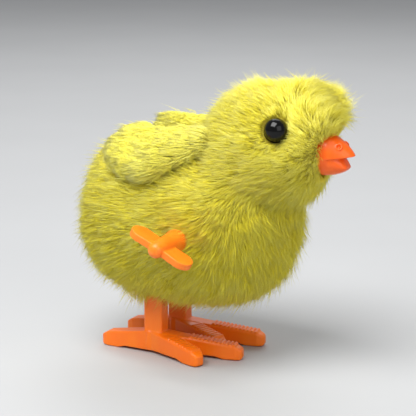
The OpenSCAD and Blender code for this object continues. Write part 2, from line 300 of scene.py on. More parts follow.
def ring(
    name: str, middle: Vector, way: Vector, radius: float, thickness: float,
    corners: tuple[int, int] = (48, 12),
) -> bpy.types.Object:
    """A round bar bent to a ring.

    Args:
        name: Name of the new object.
        middle: Its middle, in metres.
        way: The ring's own axis.
        radius: From its middle to the bar's, in millimetres.
        thickness: Half the bar's thickness, in millimetres.
        corners: Corners round the ring and round the bar.

    Returns:
        The ring.
    """
    return primitive(
        bpy.ops.mesh.primitive_torus_add, name,
        major_radius=radius * MM, minor_radius=thickness * MM,
        major_segments=corners[0], minor_segments=corners[1],
        location=middle, rotation=facing(way),
    )


def rod(
    name: str, start: Vector, end: Vector, radius: float, end_radius: float | None = None
) -> bpy.types.Object:
    """A round bar between two points.

    Args:
        name: Name of the new object.
        start: Middle of its first end, in metres.
        end: Middle of its other end, in metres.
        radius: Its radius at the start, in millimetres.
        end_radius: Its radius at the end, where it tapers.

    Returns:
        The bar, closed at both ends.
    """
    along = end - start
    return primitive(
        bpy.ops.mesh.primitive_cone_add, name, vertices=ROUND, radius1=radius * MM,
        radius2=(radius if end_radius is None else end_radius) * MM,
        depth=along.length, location=(start + end) / 2, rotation=facing(along),
    )


def trim(target: bpy.types.Object, point: Vector, outward: Vector) -> None:
    """Cuts off what lies beyond a plane and closes the cut.

    Args:
        target: The object to trim.
        point: A point on the plane, in metres.
        outward: The plane's normal, towards the part that goes.
    """
    with editing(target):
        bpy.ops.mesh.select_all(action="SELECT")
        bpy.ops.mesh.bisect(plane_co=point, plane_no=outward, use_fill=True, clear_outer=True)


def fuse(
    name: str, parts: Sequence[bpy.types.Object], voxel: float, passes: int
) -> bpy.types.Object:
    """Joins overlapping solids into one moulding with small fillets.

    Args:
        name: Name of the moulding.
        parts: The solids; they become one object.
        voxel: Size of the new faces, in millimetres.
        passes: Smoothing passes, which round the edges.

    Returns:
        The moulding.
    """
    select_only(*parts)
    bpy.ops.object.join()
    made = settle(bpy.context.object, name)
    apply_modifier(made, "REMESH", mode="VOXEL", voxel_size=voxel * MM, use_smooth_shade=True)
    apply_modifier(made, "SMOOTH", factor=0.5, iterations=passes)
    return made


def carve(target: bpy.types.Object, cutters: Sequence[bpy.types.Object]) -> None:
    """Takes shapes out of a solid.

    Args:
        target: The solid.
        cutters: The shapes, which are removed afterwards.
    """
    for cutter in cutters:
        apply_modifier(target, "BOOLEAN", operation="DIFFERENCE", solver="EXACT", object=cutter)
        bpy.data.objects.remove(cutter)


# ---------------------------------------------------------------------------- shaders


@dataclass(frozen=True)
class Value:
    """One output socket. Arithmetic on it adds Math nodes to its shader."""

    shader: "Shader"
    socket: bpy.types.NodeSocket

    def __add__(self, other: "Value | float") -> "Value":
        """Sum of the two."""
        return self.shader.maths("ADD", self, other)

    def __radd__(self, other: float) -> "Value":
        """Sum of the two, with the number first."""
        return self.shader.maths("ADD", other, self)

    def __sub__(self, other: "Value | float") -> "Value":
        """Difference of the two."""
        return self.shader.maths("SUBTRACT", self, other)

    def __rsub__(self, other: float) -> "Value":
        """Difference of the two, with the number first."""
        return self.shader.maths("SUBTRACT", other, self)

    def __mul__(self, other: "Value | float") -> "Value":
        """Product of the two."""
        return self.shader.maths("MULTIPLY", self, other)

    def __rmul__(self, other: float) -> "Value":
        """Product of the two, with the number first."""
        return self.shader.maths("MULTIPLY", other, self)


class Shader:
    """A material with one Principled surface, and the nodes that feed it."""

    def __init__(self, name: str, **constants: Any) -> None:
        """Makes the material.

        Args:
            name: Name of the material.
            constants: Values that are the same all over, by the surface's socket names with
                underscores for spaces.
        """
        self.material = bpy.data.materials.new(name)
        self.material.use_nodes = True
        self.tree = self.material.node_tree
        self.tree.nodes.clear()
        self.surface = self.tree.nodes.new("ShaderNodeBsdfPrincipled")
        output = self.tree.nodes.new("ShaderNodeOutputMaterial")
        self.tree.links.new(self.surface.outputs["BSDF"], output.inputs["Surface"])
        for key, value in constants.items():
            self.surface.inputs[key.replace("_", " ")].default_value = value

    def node(
        self,
        kind: str,
        settings: dict[str, Any] | None = None,
        sockets: dict[str | int, Any] | None = None,
        output: str | int = 0,
    ) -> Value:
        """Adds any node.

        Args:
            kind: The node's type, such as "ShaderNodeTexNoise".
            settings: Its own settings, which are set first; "stops" fills a colour ramp.
            sockets: Numbers, colours or other values for its inputs.
            output: Which output to return.

        Returns:
            The chosen output.
        """
        made = self.tree.nodes.new(kind)
        for key, value in (settings or {}).items():
            if key == "stops":
                self._fill_ramp(made.color_ramp, value)
            else:
                setattr(made, key, value)
        for key, value in (sockets or {}).items():
            if isinstance(value, Value):
                self.tree.links.new(value.socket, made.inputs[key])
            else:
                made.inputs[key].default_value = value
        return Value(self, made.outputs[output])

    @staticmethod
    def _fill_ramp(ramp: bpy.types.ColorRamp, stops: Sequence[tuple[float, Triple]]) -> None:
        """Gives a ramp its stops.

        Args:
            ramp: The ramp.
            stops: Two or more positions, each with its colour.
        """
        while len(ramp.elements) < len(stops):
            ramp.elements.new(1.0)
        for element, (position, colour) in zip(ramp.elements, stops):
            element.position = position
            element.color = (*colour, 1.0)

    def maths(self, operation: str, first: Value | float, second: Value | float) -> Value:
        """One Math node on two values or numbers."""
        return self.node("ShaderNodeMath", {"operation": operation}, {0: first, 1: second})

    def ramp(self, factor: Value, stops: Sequence[tuple[float, Triple]]) -> Value:
        """A colour ramp read at a value."""
        return self.node("ShaderNodeValToRGB", {"stops": stops}, {"Fac": factor})

    def mask(self, factor: Value, low: float, high: float) -> Value:
        """0 below low, 1 above high, smooth between."""
        return self.node(
            "ShaderNodeMapRange",
            {"interpolation_type": "SMOOTHSTEP"},
            {"Value": factor, "From Min": low, "From Max": high},
        )

    def mix(self, factor: Value, first: Any, second: Any) -> Value:
        """Blends two colours, each a value or a triple."""
        chosen = [c if isinstance(c, Value) else (*c, 1.0) for c in (first, second)]
        return self.node(
            "ShaderNodeMix",
            {"data_type": "RGBA", "clamp_factor": True},
            {"Factor": factor, 6: chosen[0], 7: chosen[1]},
            output=2,
        )

    def coordinates(self, stretch: Triple = (1, 1, 1)) -> Value:
        """The piece's own Object coordinates, stretched along the axes."""
        raw = self.node("ShaderNodeTexCoord", output="Object")
        return self.node("ShaderNodeMapping", sockets={"Vector": raw, "Scale": stretch})

    def noise(self, where: Value, grain: float, detail: float = 2.0) -> Value:
        """Noise with features about grain millimetres across."""
        return self.node(
            "ShaderNodeTexNoise",
            sockets={"Vector": where, "Scale": 1 / (grain * MM), "Detail": detail},
        )

    def bump(self, height: Value, depth: float, strength: float = 1.0) -> Value:
        """A normal bent by a height that spans depth millimetres."""
        return self.node(
            "ShaderNodeBump",
            sockets={"Height": height, "Distance": depth * MM, "Strength": strength},
        )

    def feed(self, **inputs: Value) -> bpy.types.Material:
        """Links values to the surface's inputs.

        Args:
            inputs: The values, by socket names written as in __init__.

        Returns:
            The finished material.
        """
        for key, value in inputs.items():
            self.tree.links.new(value.socket, self.surface.inputs[key.replace("_", " ")])
        return self.material


@dataclass(frozen=True)
class PileFinish:
    """Fibre colour along a strand, between a deep tone and a pale one.

    Each strand's UV holds its tone across and the way from root to tip up.
    """

    name: str
    deep: tuple[Triple, Triple, Triple]
    pale: tuple[Triple, Triple, Triple]
    roughness: float = 0.62
    sheen: float = 0.14

    def build(self) -> bpy.types.Material:
        """Makes the material.

        Returns:
            The material.
        """
        shader = Shader(
            self.name,
            Roughness=self.roughness,
            Sheen_Weight=self.sheen,
            Sheen_Roughness=0.45,
            Sheen_Tint=(1.0, 0.95, 0.62, 1.0),
            Specular_IOR_Level=0.16,
        )
        uv = shader.node("ShaderNodeUVMap", {"uv_map": PILE_UV})
        tone = shader.node("ShaderNodeSeparateXYZ", sockets={0: uv}, output=0)
        along = shader.node("ShaderNodeSeparateXYZ", sockets={0: uv}, output=1)
        # From root to tip the fibre runs deeper to paler. This is partly the fibre's frosted tips,
        # partly painted shade down at the roots and painted highlight on the tips.
        places = (0.0, 0.45, 1.0)
        deep = shader.ramp(along, list(zip(places, self.deep)))
        pale = shader.ramp(along, list(zip(places, self.pale)))
        return shader.feed(Base_Color=shader.mix(tone, deep, pale))


@dataclass(frozen=True)
class KnitFinish:
    """The knitted ground of the plush, with fuzz over its loops."""

    name: str
    light: Triple
    dark: Triple
    pitch: float = 0.9

    def build(self) -> bpy.types.Material:
        """Makes the material.

        Returns:
            The material.
        """
        shader = Shader(self.name, Sheen_Weight=0.4, Sheen_Roughness=0.5)
        where = shader.coordinates()
        wales, courses = (
            shader.node(
                "ShaderNodeTexWave",
                {"bands_direction": direction},
                {"Vector": where, "Scale": 0.31 / (self.pitch * MM), "Distortion": 1.5},
            )
            for direction in ("Y", "Z")
        )
        loops = wales * courses
        fuzz = shader.noise(where, 0.5, 4.0)
        cloud = shader.noise(where, 9.0)
        shade = shader.mask(loops * 0.5 + fuzz * 0.3 + cloud * 0.4, 0.25, 0.8)
        return shader.feed(
            Base_Color=shader.mix(shade, self.dark, self.light),
            Roughness=0.95 - fuzz * 0.15,
            Normal=shader.bump(loops + fuzz * 0.5, 0.2, 0.8),
        )


@dataclass(frozen=True)
class MouldedFinish:
    """Injection-moulded plastic: faint flow marks, fine grain and a few dull scuffs."""

    name: str
    colour: Triple
    flow_colour: Triple
    roughness: float = 0.36
    depth: float = 0.12
    grain: float = 0.35

    def build(self) -> bpy.types.Material:
        """Makes the material.

        Returns:
            The material.
        """
        shader = Shader(
            self.name,
            Subsurface_Weight=self.depth,
            Subsurface_Radius=(1.0, 0.35, 0.12),
            Subsurface_Scale=1.6 * MM,
            Coat_Roughness=0.25,
            Specular_IOR_Level=0.38,
        )
        where = shader.coordinates()
        flow = shader.noise(shader.coordinates((1.0, 1.0, 0.35)), 4.0, 3.0)
        grain = shader.noise(where, self.grain, 3.0)
        rubs = shader.mask(shader.noise(where, 1.6, 5.0), 0.6, 0.7)
        return shader.feed(
            Base_Color=shader.mix(shader.mask(flow, 0.35, 0.72), self.colour, self.flow_colour),
            Roughness=self.roughness + grain * 0.1 + rubs * 0.14 - 0.05,
            Coat_Weight=0.14 - rubs * 0.1,
            Normal=shader.bump(grain + rubs * 0.4, 0.02, 0.35),
        )


@dataclass(frozen=True)
class BeadFinish:
    """The polished black glass of an eye, with a few specks of dust."""

    name: str

    def build(self) -> bpy.types.Material:
        """Makes the material.

        Returns:
            The material.
        """
        shader = Shader(
            self.name, Coat_Weight=0.12, Coat_Roughness=0.03, Specular_IOR_Level=0.2
        )
        where = shader.coordinates()
        dust = shader.mask(shader.noise(where, 0.3, 4.0), 0.66, 0.74)
        haze = shader.noise(where, 2.0)
        return shader.feed(
            Base_Color=shader.mix(dust, (0.002, 0.002, 0.002), (0.02, 0.018, 0.012)),
            Roughness=0.07 + haze * 0.08 + dust * 0.3,
        )


@dataclass(frozen=True)
class MetalFinish:
    """Drawn or stamped steel, with fine lines along X and a little tarnish."""

    name: str
    colour: Triple
    tarnish: Triple
    roughness: float = 0.3

    def build(self) -> bpy.types.Material:
        """Makes the material.

        Returns:
            The material.
        """
        shader = Shader(self.name, Metallic=1.0)
        lines = shader.noise(shader.coordinates((0.06, 1.0, 1.0)), 0.12, 3.0)
        stain = shader.mask(shader.noise(shader.coordinates(), 2.2, 4.0), 0.5, 0.75)
        return shader.feed(
            Base_Color=shader.mix(stain, self.colour, self.tarnish),
            Roughness=self.roughness + lines * 0.16 + stain * 0.15 - 0.06,
            Normal=shader.bump(lines, 0.01, 0.3),
        )


@dataclass(frozen=True)
class FloorFinish:
    """A pale matt studio floor."""

    name: str = "studio_floor"

    def build(self) -> bpy.types.Material:
        """Makes the material.

        Returns:
            The material.
        """
        shader = Shader(self.name, Roughness=0.7)
        cloud = shader.noise(shader.coordinates(), 60.0, 2.0)
        return shader.feed(Base_Color=shader.mix(cloud, (0.41, 0.415, 0.42), (0.44, 0.445, 0.45)))


BODY_PILE = PileFinish(
    "chick_pile",
    deep=((0.66, 0.49, 0.004), (0.84, 0.71, 0.014), (0.91, 0.83, 0.08)),
    pale=((0.78, 0.63, 0.012), (0.92, 0.84, 0.07), (0.97, 0.93, 0.28)),
)
WING_PILE = PileFinish(
    "wing_pile",
    deep=((0.78, 0.66, 0.015), (0.92, 0.84, 0.08), (0.95, 0.90, 0.21)),
    pale=((0.86, 0.76, 0.05), (0.96, 0.91, 0.17), (0.98, 0.95, 0.40)),
)
BODY_KNIT = KnitFinish("plush_ground", light=(0.62, 0.52, 0.03), dark=(0.42, 0.33, 0.010))
WING_KNIT = KnitFinish("wing_ground", light=(0.66, 0.60, 0.08), dark=(0.42, 0.36, 0.02))
BEAK_PLASTIC = MouldedFinish("beak_plastic", (0.90, 0.115, 0.002), (0.94, 0.145, 0.004), 0.34)
KEY_PLASTIC = MouldedFinish("key_plastic", (0.96, 0.20, 0.008), (0.98, 0.24, 0.012), 0.40)
LEG_PLASTIC = MouldedFinish("leg_plastic", (0.94, 0.17, 0.003), (0.96, 0.20, 0.005), 0.40)
SHELL_PLASTIC = MouldedFinish("shell_plastic", (0.80, 0.78, 0.71), (0.86, 0.85, 0.79), 0.45)
GEAR_PLASTIC = MouldedFinish("gear_plastic", (0.82, 0.79, 0.68), (0.88, 0.86, 0.78), 0.38)
EYE_GLASS = BeadFinish("eye_glass")
STEEL = MetalFinish("motor_steel", (0.62, 0.63, 0.65), (0.42, 0.38, 0.32))
SPRING_STEEL = MetalFinish("spring_steel", (0.36, 0.40, 0.48), (0.30, 0.24, 0.20), 0.24)


def dress(
    piece: bpy.types.Object, material: bpy.types.Material, body: str
) -> bpy.types.Object:
    """Gives a new piece its material and the body it rides on.

    Args:
        piece: The finished mesh.
        material: Its material.
        body: The CAD body it moves with.

    Returns:
        The piece.
    """
    piece.data.materials.clear()
    piece.data.materials.append(material)
    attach(piece, body)
    log.info("%s: %d faces, on %s", piece.name, len(piece.data.polygons), body)
    return piece


# ---------------------------------------------------------------------------- pile


def ramp(values: np.ndarray, start: float, end: float) -> np.ndarray:
    """0 at start, 1 at end, smooth between and flat beyond; start may be the larger."""
    share = np.clip((values - start) / (end - start), 0.0, 1.0)
    return share * share * (3 - 2 * share)


def blend(first: np.ndarray, second: np.ndarray, share: np.ndarray) -> np.ndarray:
    """Rows of the first turned into rows of the second by each row's share."""
    return first + (second - first) * share[:, None]


def unit(rows: np.ndarray) -> np.ndarray:
    """Each row at length 1."""
    return rows / np.maximum(np.linalg.norm(rows, axis=1, keepdims=True), 1e-9)


@dataclass
class Ground:
    """The cloth that pile is rooted in, as triangles in millimetres."""

    corners: np.ndarray
    normals: np.ndarray
    areas: np.ndarray

    @classmethod
    def of(cls, cloth: bpy.types.Object) -> "Ground":
        """Reads a mesh object's triangles and smooth normals.

        Args:
            cloth: The mesh object.

        Returns:
            The ground.
        """
        mesh = cloth.data
        mesh.calc_loop_triangles()
        normals = np.empty(len(mesh.vertices) * 3, np.float32)
        mesh.vertex_normals.foreach_get("vector", normals)
        index = np.empty(len(mesh.loop_triangles) * 3, np.int32)
        mesh.loop_triangles.foreach_get("vertices", index)
        index = index.reshape(-1, 3)
        corners = read_points(mesh)[index] / MM
        sides = corners[:, 1:] - corners[:, :1]
        areas = np.linalg.norm(np.cross(sides[:, 0], sides[:, 1]), axis=1) / 2
        return cls(corners, normals.reshape(-1, 3)[index].astype(float), areas)

    @property
    def centres(self) -> np.ndarray:
        """The middle of each triangle."""
        return self.corners.mean(axis=1)

    def part(self, chosen: np.ndarray) -> "Ground":
        """Only the chosen triangles."""
        return Ground(self.corners[chosen], self.normals[chosen], self.areas[chosen])

    def scatter(
        self, count: int, generator: np.random.Generator
    ) -> tuple[np.ndarray, np.ndarray]:
        """Random points spread evenly over the cloth.

        Args:
            count: How many.
            generator: Source of the random numbers.

        Returns:
            The points and the normals there.
        """
        chosen = generator.choice(len(self.areas), count, p=self.areas / self.areas.sum())
        shares = generator.random((count, 2))
        folded = shares.sum(axis=1) > 1
        shares[folded] = 1 - shares[folded]
        weights = np.column_stack((1 - shares.sum(axis=1), shares))[:, :, None]
        points = (self.corners[chosen] * weights).sum(axis=1)
        return points, unit((self.normals[chosen] * weights).sum(axis=1))


@dataclass(frozen=True)
class Cut:
    """How a kind of plush is made: its fibres and the way they gather into locks.

    Lengths are in millimetres. A lock or tuft is given by its width and by how far it pulls
    its fibres' tips together. A spread is the least and the most of what varies at random.
    """

    per_area: float = 20.0
    length: float = 6.6
    fibre: float = 0.052
    lock: float = 0.9
    lock_pull: float = 0.16
    tuft: float = 3.4
    tuft_pull: float = 0.1
    ruffle: float = 0.1
    lock_ruffle: float = 0.7
    stray: float = 0.16
    mottle: float = 1.0
    group_mottle: float = 0.09
    fibre_mottle: float = 0.12
    fibre_spread: tuple[float, float] = (0.78, 1.12)
    lock_spread: tuple[float, float] = (0.85, 1.12)
    thickness_spread: tuple[float, float] = (0.75, 1.25)
    tone_limits: tuple[float, float] = (0.03, 0.97)
    root_lift: float = 0.45
    tip_width: float = 0.18
    middle_width: float = 0.6
    flyaways: float = 0.05
    flyaway_length: float = 1.3
    flyaway_lift: float = 0.45
    flyaway_pull: float = 0.1


@dataclass
class Strands:
    """Fibres of pile, each a root, a middle and a tip in millimetres, with a tone."""

    roots: np.ndarray
    middles: np.ndarray
    tips: np.ndarray
    tones: np.ndarray
    cut: Cut

    RING = 3
    LEVELS = (0.02, 0.45, 0.98)
    SLIVER = 0.004

    def mesh(self, name: str, generator: np.random.Generator) -> bpy.types.Object:
        """Turns the fibres into closed slim spindles.

        Args:
            name: Name of the new object.
            generator: Source of the small differences in thickness.

        Returns:
            The mesh object, with each fibre's tone and length in its UVs.
        """
        count = len(self.roots)
        axis = unit(self.tips - self.roots)
        aside = unit(np.cross(axis, generator.normal(size=(count, 3))))
        across = np.cross(axis, aside)
        spread = generator.uniform(*self.cut.thickness_spread, count)
        thickness = self.cut.fibre * spread[:, None]
        points = [self.roots]
        for i in range(self.RING):
            angle = 2 * math.pi * i / self.RING
            spoke = aside * math.cos(angle) + across * math.sin(angle)
            points.append(self.middles + spoke * thickness)
        points.append(self.tips)
        vertices = np.stack(points, axis=1) * MM
        faces, uvs = self._pattern()
        first = np.arange(count)[:, None, None] * vertices.shape[1]
        index = (faces[None] + first).reshape(-1)
        flat = np.broadcast_to(uvs[None], (count, *uvs.shape)).copy()
        flat[..., 0] += self.tones[:, None, None]
        return self._object(name, vertices.reshape(-1, 3), index, flat.reshape(-1, 2))

    def _pattern(self) -> tuple[np.ndarray, np.ndarray]:
        """The faces of one spindle.

        Returns:
            Its triangles by vertex number, and the UV offset of each of their corners.
        """
        tip = self.RING + 1
        root_level, middle_level, tip_level = self.LEVELS
        place_of = {0: (0.0, root_level), tip: (0.0, tip_level)}
        place_of |= {1 + i: (self.SLIVER * (i - 1), middle_level) for i in range(self.RING)}
        faces = []
        for i in range(self.RING):
            here, after = 1 + i, 1 + (i + 1) % self.RING
            faces += [(0, after, here), (tip, here, after)]
        return np.array(faces), np.array([[place_of[v] for v in face] for face in faces])

    @staticmethod
    def _object(
        name: str, vertices: np.ndarray, index: np.ndarray, uvs: np.ndarray
    ) -> bpy.types.Object:
        """Makes a mesh object from flat triangle data.

        Args:
            name: Name of the new object.
            vertices: Its vertices, one a row, in metres.
            index: The vertex number of each triangle's corners in turn.
            uvs: The UV of each corner.

        Returns:
            The object.
        """
        mesh = bpy.data.meshes.new(name)
        mesh.vertices.add(len(vertices))
        mesh.vertices.foreach_set("co", vertices.astype(np.float32).ravel())
        mesh.loops.add(len(index))
        mesh.loops.foreach_set("vertex_index", index.astype(np.int32))
        mesh.polygons.add(len(index) // 3)
        starts = np.arange(0, len(index), 3, dtype=np.int32)
        mesh.polygons.foreach_set("loop_start", starts)
        mesh.update(calc_edges=True)
        mesh.polygons.foreach_set("use_smooth", np.ones(len(starts), bool))
        layer = mesh.uv_layers.new(name=PILE_UV)
        layer.data.foreach_set("uv", uvs.astype(np.float32).ravel())
        return add_object(name, mesh)


def nearest(points: np.ndarray, centres: np.ndarray) -> np.ndarray:
    """Which centre is nearest to each point.

    Args:
        points: The points, one a row.
        centres: The centres, one a row.

    Returns:
        The centre's number for each point.
    """
    tree = KDTree(len(centres))
    for number, centre in enumerate(centres):
        tree.insert(centre, number)
    tree.balance()
    return np.fromiter((tree.find(point)[1] for point in points), int, len(points))


@dataclass(frozen=True)
class Lay:
    """What the comb left at each root: direction, lift, length, and a tone with any painted shade.
    """

    flow: np.ndarray
    lift: np.ndarray
    length: np.ndarray
    tone: np.ndarray


def grow(
    ground: Ground,
    cut: Cut,
    comb: Callable[[np.ndarray], Lay],
    bare: Callable[[np.ndarray], np.ndarray],
    generator: np.random.Generator,
) -> Strands:
    """Grows pile on a piece of cloth.

    Args:
        ground: The cloth.
        cut: The kind of plush.
        comb: Gives the lay at points.
        bare: Says which points have no pile.
        generator: Source of the random numbers.

    Returns:
        The fibres, drawn together into locks and tufts.
    """
    area = float(ground.areas.sum())
    roots, normals = ground.scatter(int(area * cut.per_area), generator)
    kept = ~bare(roots)
    roots, normals = roots[kept], normals[kept]
    lay = comb(roots)
    count = len(roots)

    lock_centres = generator.choice(count, max(1, int(area / cut.lock**2)), replace=False)
    tuft_centres = generator.choice(count, max(1, int(area / cut.tuft**2)), replace=False)
    lock = nearest(roots, roots[lock_centres])
    tuft = nearest(roots, roots[tuft_centres])
    lock_turn = generator.normal(size=(len(lock_centres), 3)) * cut.ruffle * cut.lock_ruffle
    tuft_turn = generator.normal(size=(len(tuft_centres), 3)) * cut.ruffle
    turn = lock_turn[lock] + tuft_turn[tuft]

    flow = lay.flow - normals * (lay.flow * normals).sum(axis=1, keepdims=True)
    along = unit(unit(flow) + turn)
    along = unit(along * np.sqrt(1 - lay.lift**2)[:, None] + normals * lay.lift[:, None])
    along = unit(along + generator.normal(size=(count, 3)) * cut.stray)
    reach = lay.length * cut.length * generator.uniform(*cut.fibre_spread, count)
    reach *= generator.uniform(*cut.lock_spread, len(lock_centres))[lock]
    wild = generator.random(count) < cut.flyaways
    reach[wild] *= cut.flyaway_length
    along[wild] = unit(along[wild] + normals[wild] * cut.flyaway_lift)

    tips = roots + along * reach[:, None]
    middles = roots + unit(along + normals * cut.root_lift) * reach[:, None] / 2
    for centres, member, pull in (
        (lock_centres, lock, cut.lock_pull),
        (tuft_centres, tuft, cut.tuft_pull),
    ):
        share = np.where(wild, cut.flyaway_pull, pull)[:, None]
        away = roots - roots[centres][member]
        home = tips[centres][member] + away * cut.tip_width
        middle_home = middles[centres][member] + away * cut.middle_width
        tips = tips + (home - tips) * share
        middles = middles + (middle_home - middles) * share / 2

    mottle = generator.normal(size=len(lock_centres))[lock] * cut.group_mottle
    mottle += generator.normal(size=len(tuft_centres))[tuft] * cut.group_mottle
    mottle += generator.normal(size=count) * cut.fibre_mottle
    tones = np.clip(lay.tone + mottle * cut.mottle, *cut.tone_limits)
    return Strands(roots, middles, tips, tones, cut)


# ---------------------------------------------------------------------------- plush body


@dataclass(frozen=True)
class Whorl:
    """A tuft that stands out of the pile: its root's place, its width, lay and length."""

    middle: Triple
    width: float
    flow: Triple
    lift: float
    length: float

    def share(self, points: np.ndarray) -> np.ndarray:
        """1 in the middle of the tuft, 0 beyond its edge."""
        away = np.linalg.norm(points - np.array(self.middle), axis=1)
        return ramp(away, self.width * 0.75, 0.0)


@dataclass(frozen=True)
class Zone:
    """A part of the plush: each root's share in it, its flow and what it adds to the lay."""

    share: np.ndarray
    flow: Triple | np.ndarray
    lift: float = 0.0
    length: float = 0.0
    tone: float = 0.0


@dataclass
class PlushBody:
    """The plush skin of body and head, with its pile. Sizes are in millimetres."""

    body_length: float = 64.0
    tail_gap: float = 1.2
    tail_squareness: float = 0.6
    breast_squareness: float = 0.76
    stations: int = 28
    end_cap: float = 0.012
    head_width: float = 37.0
    # Each row: name, place from the head's middle along Y and along Z, width
    swells: tuple[tuple[str, float, float, float], ...] = (
        ("neck", 9.0, -5.5, 35.0), ("head", 0.0, 0.0, 37.0), ("nape", 6.2, 1.6, 32.5),
        ("throat", 7.5, -13.5, 31.0), ("brow", -6.8, 7.6, 26.0),
    )
    pile_depth: float = 3.6
    skin: float = 1.1
    voxel: float = 1.2
    smoothing: int = 50
    leg_inset: float = 2.2
    # Openings in the cloth: a leg slot's width, depth and rounding, and the holes' radii
    leg_slot: Triple = (5.4, 11.5, 0.6)
    key_hole: float = 3.45
    eye_hole: float = 3.2
    beak_hole: float = 3.4
    # Bare cloth round them: half its width and length or height, or its radius
    leg_clear: tuple[float, float] = (2.4, 4.4)
    key_clear: float = 2.7
    eye_clear: float = 3.1
    beak_clear: tuple[float, float] = (4.6, 5.2)
    # The plane between head and body: a point from the head's middle and its normal, Y and Z
    neck_point: tuple[float, float] = (3.5, -9.5)
    neck_lean: tuple[float, float] = (-0.488, 0.873)
    neck_blend: float = 2.5
    # The pile under a wing: its turn from the top in degrees, its place along Y, its half width
    # round the barrel and its half length
    wing_angle: float = 34.0
    wing_middle: float = -2.0
    wing_patch: tuple[float, float] = (9.0, 13.5)
    # Where the patches of pile meet: above the head's middle, along Y, and in degrees
    crown_line: float = 2.0
    breast_line: float = -24.0
    rump_line: float = 13.0
    back_angle: float = 45.0
    belly_angle: float = 135.0
    cut: Cut = Cut()

    def __post_init__(self) -> None:
        """Reads the body's places from the CAD pieces, in millimetres."""
        low, high = extent("plush_cover")
        self.girth = (high.x - low.x) / 2
        self.centre = Vector(
            (0, high.y - self.tail_gap - self.body_length / 2, low.z + self.girth)
        )
        head_radius = self.head_width / 2
        self.head = Vector((0, low.y + head_radius, high.z - head_radius))
        beak_low, beak_high = extent("beak")
        self.beak = Vector((0, (beak_low.y + beak_high.y) / 2, (beak_low.z + beak_high.z) / 2))
        key_low, key_high = extent("winding_key")
        self.key = (key_low + key_high) / 2
        shaft_low, shaft_high = extent("hip_shaft")
        self.hip = (shaft_low + shaft_high) / 2
        self.leg_middle = shaft_high.x - self.leg_inset

    def form(self) -> bpy.types.Object:
        """The closed form of the cloth: barrel, neck and head melted together.

        Returns:
            The form, as deep under the pile as the pile stands up.
        """
        inset = self.pile_depth
        sections = []
        for i in range(self.stations + 1):
            share = i / self.stations
            angle = math.pi * min(max(share, self.end_cap), 1 - self.end_cap)
            power = self.tail_squareness if share < 0.5 else self.breast_squareness
            reach = math.copysign(abs(math.cos(angle)) ** power, math.cos(angle))
            radius = (self.girth - inset) * math.sin(angle) ** power
            middle = self.centre.y + (self.body_length / 2 - inset) * reach
            sections.append(((0.0, middle, self.centre.z), radius, radius))
        parts = [loft("barrel", sections, 96)]
        for name, y, z, width in self.swells:
            parts.append(ball(name, (self.head + Vector((0, y, z))) * MM, width / 2 - inset))
        return fuse("plush_skin", parts, self.voxel, self.smoothing)

    def openings(self) -> list[bpy.types.Object]:
        """Cutters for the legs, the key, the eyes and the beak.

        Returns:
            The cutters, all past both faces of the cloth.
        """
        hip, key = self.hip, self.key
        width, depth, rounding = self.leg_slot
        cutters = []
        for side in Side:
            middle = place(side.value * self.leg_middle, hip.y, hip.z / 2)
            cutters.append(block("leg_slot", middle, (width, depth, hip.z), rounding))
        inner, outer = place(-5, key.y, key.z), place(-30, key.y, key.z)
        cutters.append(rod("key_hole", outer, inner, self.key_hole))
        for side in Side:
            look = Eye(side, self.head).look
            inner, outer = (self.head + look * 10) * MM, (self.head + look * 22) * MM
            cutters.append(rod("eye_hole", inner, outer, self.eye_hole))
        inner, outer = place(0, self.head.y, self.beak.z), place(0, -60, self.beak.z)
        cutters.append(rod("beak_hole", inner, outer, self.beak_hole))
        return cutters

    def bare(self, points: np.ndarray) -> np.ndarray:
        """Finds where the legs, key, eyes and beak come through the pile.

        Args:
            points: Roots of the pile, in millimetres.

        Returns:
            Which roots have no pile.
        """
        x, y, z = points.T
        aside, along = self.leg_clear
        legs = (np.abs(np.abs(x) - self.leg_middle) < aside) & (np.abs(y - self.hip.y) < along)
        legs &= z < self.hip.z
        key = (np.hypot(y - self.key.y + 0.5, z - self.key.z) < self.key_clear) & (x < 0)
        wide, high = self.beak_clear
        beak = (np.hypot(x / wide, (z - self.beak.z) / high) < 1) & (y < self.head.y)
        bare = legs | key | beak
        for side in Side:
            close = Eye(side, self.head).distance(points) < self.eye_clear
            bare |= close & (x * side.value > 0)
        return bare

    def comb(self, points: np.ndarray) -> Lay:
        """The lay of the pile over body and head, with painted shade in its tone.

        Args:
            points: Roots of the pile, in millimetres.

        Returns:
            The lay at each root.
        """
        x, y, z = points.T
        # Each ramp is 0 at its first place and 1 at its second
        belly, breast = ramp(z, 44, 18), ramp(y, -16, -36) * ramp(z, 66, 44)
        head, rump = self.on_head(points), ramp(y, 10, 23)
        forehead = head * ramp(z, 70, 78) * ramp(y, -38, -48)
        from_beak = points - np.array(self.beak)
        flow = np.tile((0.0, 1.0, -0.12), (len(points), 1))
        lift, length, tone = (np.full(len(points), start) for start in (0.42, 1.0, 0.24))
        for zone in (
            Zone(belly, (0.0, 0.7, -0.75), lift=0.06, length=0.12),
            # The breast's tone of -0.12 is painted shade on the lower front, where less light
            # falls.
            Zone(breast, (0.0, -0.25, -1.0), lift=0.04, length=0.1, tone=-0.12),
            Zone(rump, (0.0, 0.3, -0.5)),
            Zone(head, unit(from_beak) + np.array((0.0, 0.55, 0.05)), lift=0.1, length=-0.12),
            Zone(forehead, (0.0, -0.5, 0.6)),
        ):
            flow = blend(flow, np.array(zone.flow), zone.share)
            lift += zone.lift * zone.share
            length += zone.length * zone.share
            tone += zone.tone * zone.share

        under_wing = self.under_wing(points)
        near_beak = ramp(np.linalg.norm(from_beak, axis=1), 11.5, 6.0)
